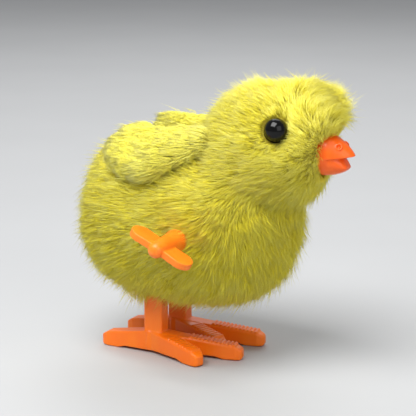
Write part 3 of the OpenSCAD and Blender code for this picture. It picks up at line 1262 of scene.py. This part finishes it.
        # Each row: where the pile is sheared, what that adds to its lift, what it takes off
        sheared = [(near_beak, 0.12, 0.4), (under_wing, -0.28, 0.3)]
        for side in Side:
            eye = Eye(side, self.head)
            close = ramp(eye.distance(points), 8.0, 3.4) * (x * side.value > 0)
            outward = unit(points - np.array(eye.middle))
            flow = blend(flow, outward + 0.4 * unit(flow), close * 0.75)
            sheared.append((close, -0.2, 0.42))
        for share, raised, shorn in sheared:
            lift += raised * share
            length *= 1 - shorn * share
        # Painted shade: the pile is paler high up, and deeper low down and under the wings, where
        # less light falls. The next line adds the pile's own mottle.
        tone += 0.5 * ramp(z, 24, 68) - 0.12 * under_wing
        tone += 0.1 * np.sin(x * 0.21 + y * 0.17) * np.sin(z * 0.19)

        for whorl in self.whorls():
            share = whorl.share(points)
            flow = blend(flow, np.array(whorl.flow), share)
            lift += (whorl.lift - lift) * share
            length *= 1 + (whorl.length - 1) * share
        hang = 0.35 * belly[:, None] * np.array((0.0, 0.0, -1.0))
        return Lay(unit(flow) + hang, np.clip(lift, 0.12, 0.85), length, tone)

    def whorls(self) -> tuple[Whorl, ...]:
        """The tufts over the forehead and beak, on the crown, on the tail and by a leg.

        Returns:
            The tufts, of which a later one lies over an earlier one.
        """
        y, z = self.head.y, self.head.z
        tail_y, tail_z = self.centre.y + self.body_length / 2, self.centre.z
        return (
            Whorl((0, y - 12.0, z + 12.0), 16, (0.1, -1.0, 0.7), 0.6, 1.1),
            Whorl((5, y - 12.5, z + 13.0), 10, (0.4, -1.0, 0.9), 0.6, 1.3),
            Whorl((0, y - 15.5, z + 7.5), 12, (0.0, -1.0, 0.1), 0.72, 1.5),
            Whorl((-1, y + 4.5, z + 14.5), 9, (0.0, 0.25, 1.0), 0.8, 1.12),
            Whorl((-5, tail_y - 8.0, tail_z + 15.5), 9, (0.0, 1.0, 0.6), 0.56, 1.3),
            Whorl((-10.5, self.hip.y + 2.5, tail_z - 19.5), 7, (0.15, 0.1, -1.0), 0.85, 1.5),
        )

    def on_head(self, points: np.ndarray) -> np.ndarray:
        """Finds which side of the neck points are on.

        Args:
            points: The points, in millimetres.

        Returns:
            1 on the head, 0 on the body, smooth across the neck.
        """
        y, z = points[:, 1], points[:, 2]
        (point_y, point_z), (lean_y, lean_z) = self.neck_point, self.neck_lean
        above = (y - self.head.y - point_y) * lean_y + (z - self.head.z - point_z) * lean_z
        return ramp(above, -self.neck_blend, self.neck_blend)

    def around(self, points: np.ndarray) -> np.ndarray:
        """Each point's turn about the barrel's axis from its top, in degrees."""
        return np.degrees(np.arctan2(np.abs(points[:, 0]), points[:, 2] - self.centre.z))

    def under_wing(self, points: np.ndarray) -> np.ndarray:
        """Finds the pile that a wing lies on.

        Args:
            points: Roots of the pile, in millimetres.

        Returns:
            1 under a wing, 0 well clear of it.
        """
        wide, long = self.wing_patch
        across = (self.around(points) - self.wing_angle) * math.radians(1) * self.girth
        gap = np.hypot(across / wide, (points[:, 1] - self.wing_middle) / long)
        return ramp(gap, 1.05, 0.85) * (points[:, 2] > self.centre.z)

    def patches(self, ground: Ground) -> dict[str, np.ndarray]:
        """Divides the cloth into patches of pile.

        Args:
            ground: The whole cloth.

        Returns:
            Which triangles each patch grows on, by the patch's name.
        """
        x, y, z = ground.centres.T
        head = self.on_head(ground.centres) > 0.5
        around = self.around(ground.centres)
        right, crown = x < 0, z > self.head.z + self.crown_line
        breast, rump = ~head & (y < self.breast_line), ~head & (y > self.rump_line)
        middle = ~head & ~breast & ~rump
        back, belly = around < self.back_angle, around >= self.belly_angle
        flank = middle & ~back & ~belly
        return {
            "crown_pile": head & crown,
            "face_pile": head & ~crown,
            "right_breast_pile": breast & right,
            "left_breast_pile": breast & ~right,
            "right_rump_pile": rump & right,
            "left_rump_pile": rump & ~right,
            "back_pile": middle & back,
            "right_flank_pile": flank & right,
            "left_flank_pile": flank & ~right,
            "belly_pile": middle & belly,
        }

    def build(self) -> None:
        """Makes the skin and grows its pile."""
        skin = self.form()
        ground = Ground.of(skin)
        finish = BODY_PILE.build()
        for number, (name, chosen) in enumerate(self.patches(ground).items()):
            generator = np.random.default_rng(100 + number)
            strands = grow(ground.part(chosen), self.cut, self.comb, self.bare, generator)
            pile = dress(strands.mesh(name, generator), finish, BODY)
            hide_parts("plush_cover")
        apply_modifier(skin, "SOLIDIFY", thickness=self.skin * MM, offset=-1)
        carve(skin, self.openings())
        dress(skin, BODY_KNIT.build(), BODY)
        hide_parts("plush_cover")


@dataclass
class Wing:
    """A stuffed wing pad with short smooth pile. Sizes are in millimetres."""

    side: Side
    shrink: float = 1.0
    fine_voxel: float = 0.4
    voxel: float = 1.1
    swell: float = 0.9
    # The front end is drawn out and turned up, and the lower edge is turned down between its
    # ends. Each band is where that begins and where it is full, along Y or in degrees.
    nose: float = 3.5
    nose_turn: float = 11.0
    nose_band: tuple[float, float] = (-2.0, -16.0)
    lower_turn: float = 7.0
    lower_band: tuple[float, float] = (30.0, 46.0)
    waist_bands: tuple[tuple[float, float], ...] = ((4.0, -5.0), (-17.0, -9.0))
    sim_scale: float = 40.0
    sim_frames: int = 20
    pressure: float = 4.0
    outward_least: float = -0.35
    cut: Cut = Cut(
        per_area=24.0, length=6.0, fibre=0.055, lock=1.3, lock_pull=0.16, tuft=4.0,
        tuft_pull=0.0, ruffle=0.02, stray=0.05, mottle=0.6, flyaways=0.01,
    )

    @property
    def node(self) -> str:
        """The CAD pad that this wing stands for."""
        return f"{self.side.word}_wing"

    def pad(self) -> bpy.types.Object:
        """Makes the stuffed pad from the CAD pad, remeshed and blown up as cloth.

        Returns:
            The closed pad.
        """
        pad = add_object(f"{self.node}_pad", frame["nodes"][self.node].data.copy())
        with editing(pad, "VERT"):
            bpy.ops.mesh.select_all(action="SELECT")
            bpy.ops.mesh.remove_doubles(threshold=0.01 * MM)
        apply_modifier(pad, "REMESH", mode="VOXEL", voxel_size=self.fine_voxel * MM)
        apply_modifier(pad, "DISPLACE", strength=-self.shrink * MM, mid_level=0.0)
        apply_modifier(pad, "REMESH", mode="VOXEL", voxel_size=self.voxel * MM)
        apply_modifier(pad, "SMOOTH", factor=0.5, iterations=3)
        self.stuff(pad)
        self.draw_out(pad)
        apply_modifier(pad, "SMOOTH", factor=0.5, iterations=14)
        apply_modifier(pad, "SUBSURF", levels=1, render_levels=1)
        smooth_shade(pad)
        return pad

    def stuff(self, pad: bpy.types.Object) -> None:
        """Blows the pad up as pressed cloth, at a size the solver likes, and caps the swell.

        Args:
            pad: The pad.
        """
        rest = read_points(pad.data)
        pad.scale = (self.sim_scale,) * 3
        select_only(pad)
        bpy.ops.object.transform_apply(location=False, rotation=False, scale=True)
        cloth = pad.modifiers.new("Stuffing", "CLOTH")
        cloth.settings.use_pressure = True
        cloth.settings.uniform_pressure_force = self.pressure
        cloth.settings.effector_weights.gravity = 0.0
        cloth.settings.quality = 6
        cloth.point_cache.frame_start, cloth.point_cache.frame_end = 1, self.sim_frames
        for number in range(1, self.sim_frames + 1):
            bpy.context.scene.frame_set(number)
        bpy.ops.object.modifier_apply(modifier=cloth.name)
        bpy.context.scene.frame_set(1)
        way = read_points(pad.data) / self.sim_scale - rest
        size = np.linalg.norm(way, axis=1, keepdims=True)
        way *= np.minimum(1.0, self.swell * MM / np.maximum(size, 1e-9))
        write_points(pad.data, rest + way)

    @property
    def axis(self) -> np.ndarray:
        """A point on the axis that the body is round about, in millimetres."""
        low, high = extent("plush_cover")
        return np.array((0.0, 0.0, low.z + (high.x - low.x) / 2))

    def draw_out(self, pad: bpy.types.Object) -> None:
        """Draws the pad's front end out and up towards the nape, and rounds its lower edge.

        Args:
            pad: The pad.
        """
        away = read_points(pad.data) / MM - self.axis
        along = away[:, 1]
        around = np.arctan2(np.abs(away[:, 0]), away[:, 2])
        radius = np.hypot(away[:, 0], away[:, 2])
        front = ramp(along, *self.nose_band)
        rear_half, front_half = (ramp(along, *band) for band in self.waist_bands)
        lower = ramp(around, *(math.radians(turn) for turn in self.lower_band))
        around -= math.radians(self.nose_turn) * front
        around += math.radians(self.lower_turn) * rear_half * front_half * lower
        away[:, 0] = self.side.value * radius * np.sin(around)
        away[:, 1] -= self.nose * front
        away[:, 2] = radius * np.cos(around)
        write_points(pad.data, (away + self.axis) * MM)

    def comb(self, points: np.ndarray) -> Lay:
        """Short pile that lies flat towards the wing's rear end.

        Args:
            points: Roots of the pile, in millimetres.

        Returns:
            The lay at each root.
        """
        rear = ramp(points[:, 1], 2, 11)
        flow = np.tile((0.0, 1.0, -0.1), (len(points), 1))
        tone = 0.55 + 0.12 * np.sin(points[:, 1] * 0.35) * np.sin(points[:, 2] * 0.4)
        return Lay(flow, 0.13 + 0.08 * rear, 1.0 - 0.3 * rear, tone)

    def build(self) -> None:
        """Makes the pad and its pile."""
        pad = self.pad()
        ground = Ground.of(pad)
        out = ground.centres - self.axis
        out[:, 1] = 0
        outward = (ground.normals.mean(axis=1) * unit(out)).sum(axis=1)
        generator = np.random.default_rng(200 + self.side.value)
        strands = grow(
            ground.part(outward > self.outward_least), self.cut, self.comb,
            lambda points: np.zeros(len(points), bool), generator,
        )
        pile = strands.mesh(f"{self.node}_pile", generator)
        dress(pile, WING_PILE.build(), BODY)
        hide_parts(self.node)
        dress(pad, WING_KNIT.build(), BODY)
        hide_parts(self.node)


# ---------------------------------------------------------------------------- face


@dataclass
class Eye:
    """A glossy bead on a shank, set in the side of the head. Sizes are in millimetres."""

    side: Side
    head: Vector
    forward_tilt: float = 21.0
    rise: float = 27.0
    reach: float = 15.8
    diameter: float = 6.6
    # The bead's flat back behind its middle, and the seat's inset and depth in it
    back: float = 1.3
    seat: tuple[float, float] = (0.8, 0.5)
    # The shank's reach behind the middle and its radius
    shank: tuple[float, float] = (5.5, 0.9)
    rim_depth: float = 1.15
    rim_inset: float = 0.25
    rim_thickness: float = 0.42

    @property
    def look(self) -> Vector:
        """The way the eye looks out of the head.

        Returns:
            The direction, one unit long.
        """
        tilt, rise = math.radians(self.forward_tilt), math.radians(self.rise)
        flat = Vector((self.side.value * math.cos(tilt), -math.sin(tilt), 0)) * math.cos(rise)
        return flat + Vector((0, 0, math.sin(rise)))

    @property
    def middle(self) -> Vector:
        """The middle of the bead, in millimetres."""
        return self.head + self.look * self.reach

    def distance(self, points: np.ndarray) -> np.ndarray:
        """How far points lie from the line that the eye looks along.

        Args:
            points: The points, in millimetres.

        Returns:
            The distance of each.
        """
        away = points - np.array(self.head)
        look = np.array(self.look)
        return np.linalg.norm(away - np.outer(away @ look, look), axis=1)

    def build(self) -> None:
        """Makes the bead with its rim and shank."""
        radius = self.diameter / 2
        bead = ball("bead", self.middle * MM, radius)
        trim(bead, self.behind(self.back), -self.look)
        self.inset_back(bead)
        length, half = self.shank
        shank = rod("shank", self.behind(length), self.behind(1.0), half)
        rim = ring(
            "rim", self.behind(self.rim_depth), self.look, radius - self.rim_inset,
            self.rim_thickness, (ROUND, 16),
        )
        piece = fuse(f"{self.side.word}_eye_bead", [bead, shank, rim], 0.14, 3)
        dress(piece, EYE_GLASS.build(), BODY)
        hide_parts(f"{self.side.word}_eye")

    def behind(self, depth: float) -> Vector:
        """The point this far behind the bead's middle, in metres."""
        return (self.middle - self.look * depth) * MM

    def inset_back(self, bead: bpy.types.Object) -> None:
        """Draws the flat back of the bead in to a shallow seat for the shank.

        Args:
            bead: The trimmed bead.
        """
        inset, depth = self.seat
        for face in bead.data.polygons:
            face.select = face.normal.dot(self.look) < -0.99
        with editing(bead):
            bpy.ops.mesh.inset(thickness=inset * MM)
            bpy.ops.transform.translate(value=-self.look * depth * MM)


@dataclass
class Beak:
    """A moulded beak with an open mouth, two nostrils and a plug that the shell clamps.

    Sizes are in millimetres. Places are counted ahead of the root and up from mid height.
    """

    mouth_slope: float = -0.11
    roof_corner: float = -0.75
    bite_corner: float = -0.9
    bite_slope: float = 0.5
    corner: float = 2.6
    plug: float = 4.6
    plug_radius: float = 3.0
    flange: float = 1.2
    flange_radius: float = 3.9
    # A nostril's place ahead, up and aside, the way it faces, its rim and its dimple
    nostril: Triple = (5.6, 2.75, 2.55)
    nostril_way: Triple = (0.78, -0.32, 0.54)
    nostril_rim: tuple[float, float] = (0.85, 0.26)
    nostril_radius: float = 0.6
    # Each row: distance ahead of the root, height of the ridge, half width
    ridge: tuple[Triple, ...] = (
        (0.3, 6.1, 5.5), (1.4, 6.15, 5.35), (2.9, 5.7, 4.95), (4.4, 4.95, 4.35),
        (5.9, 3.9, 3.65), (7.2, 2.85, 2.95), (8.3, 1.75, 2.2), (9.1, 0.75, 1.5), (9.7, -0.2, 0.8),
    )
    # Each row: distance ahead of the root, height of the chin, half width
    chin: tuple[Triple, ...] = (
        (0.3, -6.1, 5.3), (1.8, -6.0, 4.9), (3.7, -5.65, 4.1), (5.4, -5.1, 3.3),
        (6.8, -4.45, 2.5), (7.6, -3.85, 1.7),
    )
    # Each row: distance ahead of the root, half width, half height
    base: tuple[Triple, ...] = ((0.0, 5.5, 6.1), (1.2, 5.35, 6.05), (2.7, 4.9, 5.7))

    def __post_init__(self) -> None:
        """Reads the root and mid height from the CAD beak, in millimetres."""
        low, high = extent("beak")
        self.root = high.y - self.plug
        self.mid = (low.z + high.z) / 2

    def at(self, ahead: float, up: float, aside: float = 0.0) -> Vector:
        """A point given from the root, in metres."""
        return place(aside, self.root - ahead, self.mid + up)

    def roof(self, ahead: float) -> float:
        """Height of the roof of the mouth."""
        return self.roof_corner + self.mouth_slope * (ahead - self.corner)

    def bite(self, ahead: float) -> float:
        """Height of the lower jaw's edge, which drops away from the roof."""
        return self.bite_corner - self.bite_slope * max(0.0, ahead - self.corner)

    def jaw(
        self, name: str, outline: Sequence[Triple], lip: Callable[[float], float]
    ) -> bpy.types.Object:
        """A half-round jaw between an outline and the lip of the mouth.

        Args:
            name: Name of the new object.
            outline: The jaw's ridge or chin.
            lip: Height of the mouth at a distance ahead of the root.

        Returns:
            The jaw, not yet trimmed at the lip.
        """
        sections = []
        for ahead, height, width in outline:
            edge = lip(ahead)
            middle = (0.0, self.root - ahead, self.mid + edge)
            sections.append((middle, width, abs(height - edge)))
        return loft(name, sections)

    def build(self) -> None:
        """Makes the beak in one moulding."""
        upper = self.jaw("upper_jaw", self.ridge, self.roof)
        trim(upper, self.at(self.corner, self.roof(self.corner)), Vector((0, self.mouth_slope, -1)))
        lower = self.jaw("lower_jaw", self.chin, self.bite)
        trim(
            lower, self.at(self.corner, self.bite(self.corner)), Vector((0, self.bite_slope, 1))
        )
        base = loft(
            "beak_base",
            [((0.0, self.root - ahead, self.mid), wide, high) for ahead, wide, high in self.base],
        )
        end, neck = self.at(-self.plug, 0), self.at(self.flange - self.plug, 0)
        plug = rod("plug", end, self.at(0.5, 0), self.plug_radius)
        parts = [upper, lower, base, plug, rod("flange", end, neck, self.flange_radius)]
        dimples = []
        ahead, up, aside = self.nostril
        for side in Side:
            spot = self.at(ahead, up, side.value * aside)
            way_x, way_y, way_z = self.nostril_way
            way = Vector((side.value * way_x, way_y, way_z))
            parts.append(ring("nostril_rim", spot + way * 0.04 * MM, way, *self.nostril_rim))
            dimples.append(ball("nostril", spot + way * 0.25 * MM, self.nostril_radius))
        beak = fuse("beak_moulding", parts, 0.16, 3)
        carve(beak, dimples)
        apply_modifier(beak, "SMOOTH", factor=0.4, iterations=2)
        smooth_shade(beak)
        dress(beak, BEAK_PLASTIC.build(), BODY)
        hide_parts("beak")


# ---------------------------------------------------------------------------- key and legs


@dataclass
class WindingKey:
    """The key: a stem that swells towards the shell and two rounded leaves.

    Sizes are in millimetres. The tilt is the leaves' turn at rest, in degrees.
    """

    leaf_width: float = 6.8
    leaf_thickness: float = 2.0
    leaf_inset: float = 1.6
    leaf_waist: float = 0.86
    leaf_rounding: float = 0.55
    span: float = 20.0
    tilt: float = 26.0
    bore: float = 1.02
    bore_end: float = 3.0
    # Each row: distance from the inner end, radius
    root: tuple[tuple[float, float], ...] = (
        (0.0, 3.0), (2.5, 3.0), (3.4, 3.3), (7.5, 3.35), (9.4, 2.95), (12.0, 2.75),
    )
    # Each row: distance from the outer end, radius
    nose: tuple[tuple[float, float], ...] = ((4.0, 2.5), (1.2, 2.1), (0.4, 1.5), (0.05, 0.6))

    def __post_init__(self) -> None:
        """Reads the key's axis and reach from the CAD key, in millimetres."""
        low, high = extent("winding_key")
        self.axis = (low + high) / 2
        self.inner, self.outer = high.x, low.x

    def on_axis(self, x: float) -> Vector:
        """The point on the key's axis at this X, in metres."""
        return place(x, self.axis.y, self.axis.z)

    def leaf(self, end: int) -> bpy.types.Object:
        """One leaf, a flat tab with a round end and soft edges.

        Args:
            end: 1 or -1, the way it points from the stem.

        Returns:
            The leaf, in place.
        """
        radius = self.leaf_width / 2
        middle = self.outer + self.leaf_inset + radius
        tip = self.span / 2 - radius
        leaf = primitive(
            bpy.ops.mesh.primitive_cylinder_add, "leaf", vertices=ROUND, radius=radius * MM,
            depth=self.leaf_thickness * MM, location=(middle * MM, end * tip * MM, 0),
        )
        for face in leaf.data.polygons:
            face.select = face.normal.y * end < -0.02 and abs(face.normal.z) < 0.5
        with editing(leaf):
            bpy.ops.mesh.extrude_region_move(
                TRANSFORM_OT_translate={"value": (0, -end * (tip - 0.5) * MM, 0)}
            )
            bpy.ops.transform.resize(
                value=(self.leaf_waist, 1, 1), center_override=(middle * MM, 0, 0)
            )
        apply_modifier(
            leaf, "BEVEL", width=self.leaf_rounding * MM, segments=BEVEL_STEPS,
            angle_limit=math.radians(50),
        )
        leaf.rotation_euler = (math.radians(self.tilt), 0, 0)
        leaf.location = place(0, self.axis.y, self.axis.z)
        return settle(leaf, "leaf")

    def build(self) -> None:
        """Makes the key in one moulding."""
        outline = [(self.inner - away, radius) for away, radius in self.root]
        outline += [(self.outer + away, radius) for away, radius in self.nose]
        parts = [
            rod("stem", self.on_axis(a), self.on_axis(b), radius_a, radius_b)
            for (a, radius_a), (b, radius_b) in zip(outline, outline[1:])
        ]
        parts += [self.leaf(end) for end in (-1, 1)]
        key = fuse("winding_key_moulding", parts, 0.17, 5)
        bottom, mouth = self.on_axis(self.outer + self.bore_end), self.on_axis(self.inner + 1)
        carve(key, [rod("bore", bottom, mouth, self.bore)])
        dress(key, KEY_PLASTIC.build(), "winding")
        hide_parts("winding_key")


@dataclass
class Leg:
    """A flat leg and its foot in one moulding, with two ribbed toes and a heel spur.

    Sizes are in millimetres.
    """

    side: Side
    width: float = 4.4
    depth: float = 6.0
    rounding: float = 0.5
    bottom: float = 3.0
    # Each row: reach from the ankle's middle, ribs on top, turn from straight ahead in degrees
    digits: tuple[tuple[float, int, float], ...] = (
        (20.0, 9, -21.0), (27.0, 12, 10.0), (18.0, 0, 180.0),
    )
    toe_width: float = 4.6
    toe_rounding: float = 0.55
    ankle: float = 6.8
    tip: float = 4.0
    arch: float = 0.7
    rib_pitch: float = 1.2
    rib_start: float = 2.1
    rib_size: Triple = (4.0, 0.86, 1.1)
    rib_rounding: float = 0.34
    hip_eye: float = 3.3
    hip_bore: float = 1.2

    def __post_init__(self) -> None:
        """Reads the hip from the CAD shaft, in millimetres."""
        low, high = extent("hip_shaft")
        self.hip = (low + high) / 2
        self.middle = self.side.value * (high.x - self.width / 2)

    def digit(self, reach: float, ribs: int, turn: float) -> bpy.types.Object:
        """One toe or the heel spur.

        Args:
            reach: Length from the ankle's middle, in millimetres.
            ribs: Ribs across the front part of its top.
            turn: Turn about Z from straight ahead, in degrees.

        Returns:
            The digit, in place.
        """
        fall = (self.ankle - self.tip) / reach
        half = self.toe_width / 2
        # Each row: distance ahead of the ankle, height of the sole, half width
        stations = (
            (-2.5, self.arch, half + 0.2), (1.0, self.arch, half + 0.2),
            (reach * 0.55, self.arch, half), (reach - 8.5, self.arch, half),
            (reach - 6.0, 0.0, half - 0.05), (reach - 2.4, 0.0, half - 0.2),
            (reach - 1.0, 0.05, half - 0.6), (reach - 0.25, 0.45, half - 1.15),
        )
        sections = []
        for ahead, sole, wide in stations:
            top = self.ankle - fall * max(ahead, 0.0)
            if ahead > reach - 2:
                top -= 0.55 * (ahead - reach + 2)
            middle = (0.0, -ahead, (top + sole) / 2)
            sections.append((middle, wide, (top - sole) / 2))
        toe = loft("toe", sections, 4)
        apply_modifier(
            toe, "BEVEL", width=self.toe_rounding * MM, segments=BEVEL_STEPS,
            angle_limit=math.radians(40),
        )
        solids = [toe]
        for number in range(ribs):
            ahead = reach - self.rib_start - (number + 0.5) * self.rib_pitch
            middle = place(0, -ahead, self.ankle - fall * ahead - 0.1)
            solids.append(block("rib", middle, self.rib_size, self.rib_rounding))
        select_only(*solids)
        bpy.ops.object.join()
        made = bpy.context.object
        made.rotation_euler = (0, 0, math.radians(turn))
        made.location = place(self.middle, self.hip.y, 0)
        return settle(made, "digit")

    def build(self) -> None:
        """Makes the leg and foot in one moulding."""
        shank = block(
            "shank", place(self.middle, self.hip.y, (self.hip.z + self.bottom) / 2),
            (self.width, self.depth, self.hip.z - self.bottom), self.rounding,
        )
        out = Vector((self.width / 2, 0, 0)) * MM
        hip = place(self.middle, self.hip.y, self.hip.z)
        parts = [shank, rod("hip_eye", hip - out, hip + out, self.hip_eye)]
        parts += [self.digit(*sizes) for sizes in self.digits]
        leg = fuse(f"{self.side.word}_leg_moulding", parts, 0.2, 2)
        carve(leg, [rod("hip_bore", hip - out * 2, hip + out * 2, self.hip_bore)])
        dress(leg, LEG_PLASTIC.build(), "legs")
        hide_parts(f"{self.side.word}_leg")


# ---------------------------------------------------------------------------- clockwork


@dataclass
class Clockwork:
    """The pieces inside the plush, which keep their CAD meshes."""

    def dress(self) -> None:
        """Gives each CAD piece the finish of its part of the motor."""
        shell, gear, steel, spring = (
            finish.build() for finish in (SHELL_PLASTIC, GEAR_PLASTIC, STEEL, SPRING_STEEL)
        )
        groups = (
            (shell, "shell_plastic", ("body_shell_right", "body_shell_left")),
            (gear, "gear_plastic", (
                "gearbox_case", "gearbox_cover", "great_wheel", "second_wheel", "third_wheel",
                "crank_wheel", "rocker_fork",
            )),
            (steel, "steel", (
                "eye_washers", "shell_screws", "gearbox_screws", "spring_post", "winding_arbor",
                "ratchet_wheel", "click", "second_arbor", "third_arbor", "crank_arbor",
                "crank_pin", "hip_shaft",
            )),
            (spring, "steel", ("mainspring",)),
        )
        for material, slot, names in groups:
            for name in names:
                node = frame["nodes"][name]
                node.data.materials.clear()
                node.data.materials.append(material)
                log.info("%s: CAD mesh in %s", name, material.name)


# ---------------------------------------------------------------------------- studio


@dataclass
class Studio:
    """A plain floor, soft lights and the camera."""

    azimuth: float = -62.5
    elevation: float = 13.5
    distance: float = 500.0
    lens: float = 149.0
    aim: Triple = (0.0, -13.0, 43.4)
    light_distance: float = 700.0
    # Each row: name, azimuth and elevation in degrees, side in metres, power in watts
    lights: tuple[tuple[str, float, float, float, float], ...] = (
        ("top_light", -100, 62, 0.5, 8.0),
        ("front_light", -30, 24, 0.5, 1.3),
        ("back_light", 110, 45, 0.5, 2.2),
    )
    sky: Triple = (0.80, 0.81, 0.83)
    sky_strength: float = 0.42

    def toward(self, azimuth: float, elevation: float) -> Vector:
        """The direction from the chick out to this azimuth and elevation."""
        a, e = math.radians(azimuth), math.radians(elevation)
        return Vector((math.sin(a) * math.cos(e), -math.cos(a) * math.cos(e), math.sin(e)))

    def camera(self) -> None:
        """Adds the camera."""
        data = bpy.data.cameras.new("camera")
        data.lens = self.lens
        data.clip_start, data.clip_end = 0.01, 20.0
        camera = add_object("camera", data)
        self.aim_at_chick(camera, self.azimuth, self.elevation, self.distance)
        bpy.context.scene.camera = camera

    def aim_at_chick(
        self, thing: bpy.types.Object, azimuth: float, elevation: float, distance: float
    ) -> None:
        """Puts a camera or a light in its place, facing the chick.

        Args:
            thing: The camera or light.
            azimuth: Where it stands, in degrees from the chick's front towards its left.
            elevation: How high it stands, in degrees.
            distance: How far away it stands, in millimetres.
        """
        back = self.toward(azimuth, elevation)
        thing.location = place(*self.aim) + back * distance * MM
        thing.rotation_euler = facing(back)

    def softbox(
        self, name: str, azimuth: float, elevation: float, size: float, power: float
    ) -> None:
        """Adds a square soft light that faces the chick.

        Args:
            name: Name of the light.
            azimuth: Where it stands, in degrees from the chick's front towards its left.
            elevation: How high it stands, in degrees.
            size: Its side, in metres.
            power: Its power, in watts.
        """
        data = bpy.data.lights.new(name, "AREA")
        data.size, data.energy = size, power
        self.aim_at_chick(add_object(name, data), azimuth, elevation, self.light_distance)

    def floor(self) -> None:
        """Adds the floor."""
        floor = primitive(
            bpy.ops.mesh.primitive_circle_add, "studio_floor",
            vertices=96, radius=6.0, fill_type="NGON", location=(0, 0, -0.05 * MM),
        )
        floor.data.materials.append(FloorFinish().build())

    def build(self) -> None:
        """Makes the whole studio."""
        self.camera()
        self.floor()
        for light in self.lights:
            self.softbox(*light)
        world = bpy.data.worlds.new("studio")
        world.use_nodes = True
        background = world.node_tree.nodes["Background"]
        background.inputs["Color"].default_value = (*self.sky, 1)
        background.inputs["Strength"].default_value = self.sky_strength
        bpy.context.scene.world = world
        bpy.context.scene.view_settings.view_transform = "Standard"


def main() -> None:
    """Builds every sub-assembly in order."""
    logging.basicConfig(level=logging.INFO, format="%(message)s")
    Studio().build()
    Clockwork().dress()
    plush = PlushBody()
    plush.build()
    for side in Side:
        Wing(side).build()
        Eye(side, plush.head).build()
        Leg(side).build()
    Beak().build()
    WindingKey().build()


if __name__ == "__main__":
    main()
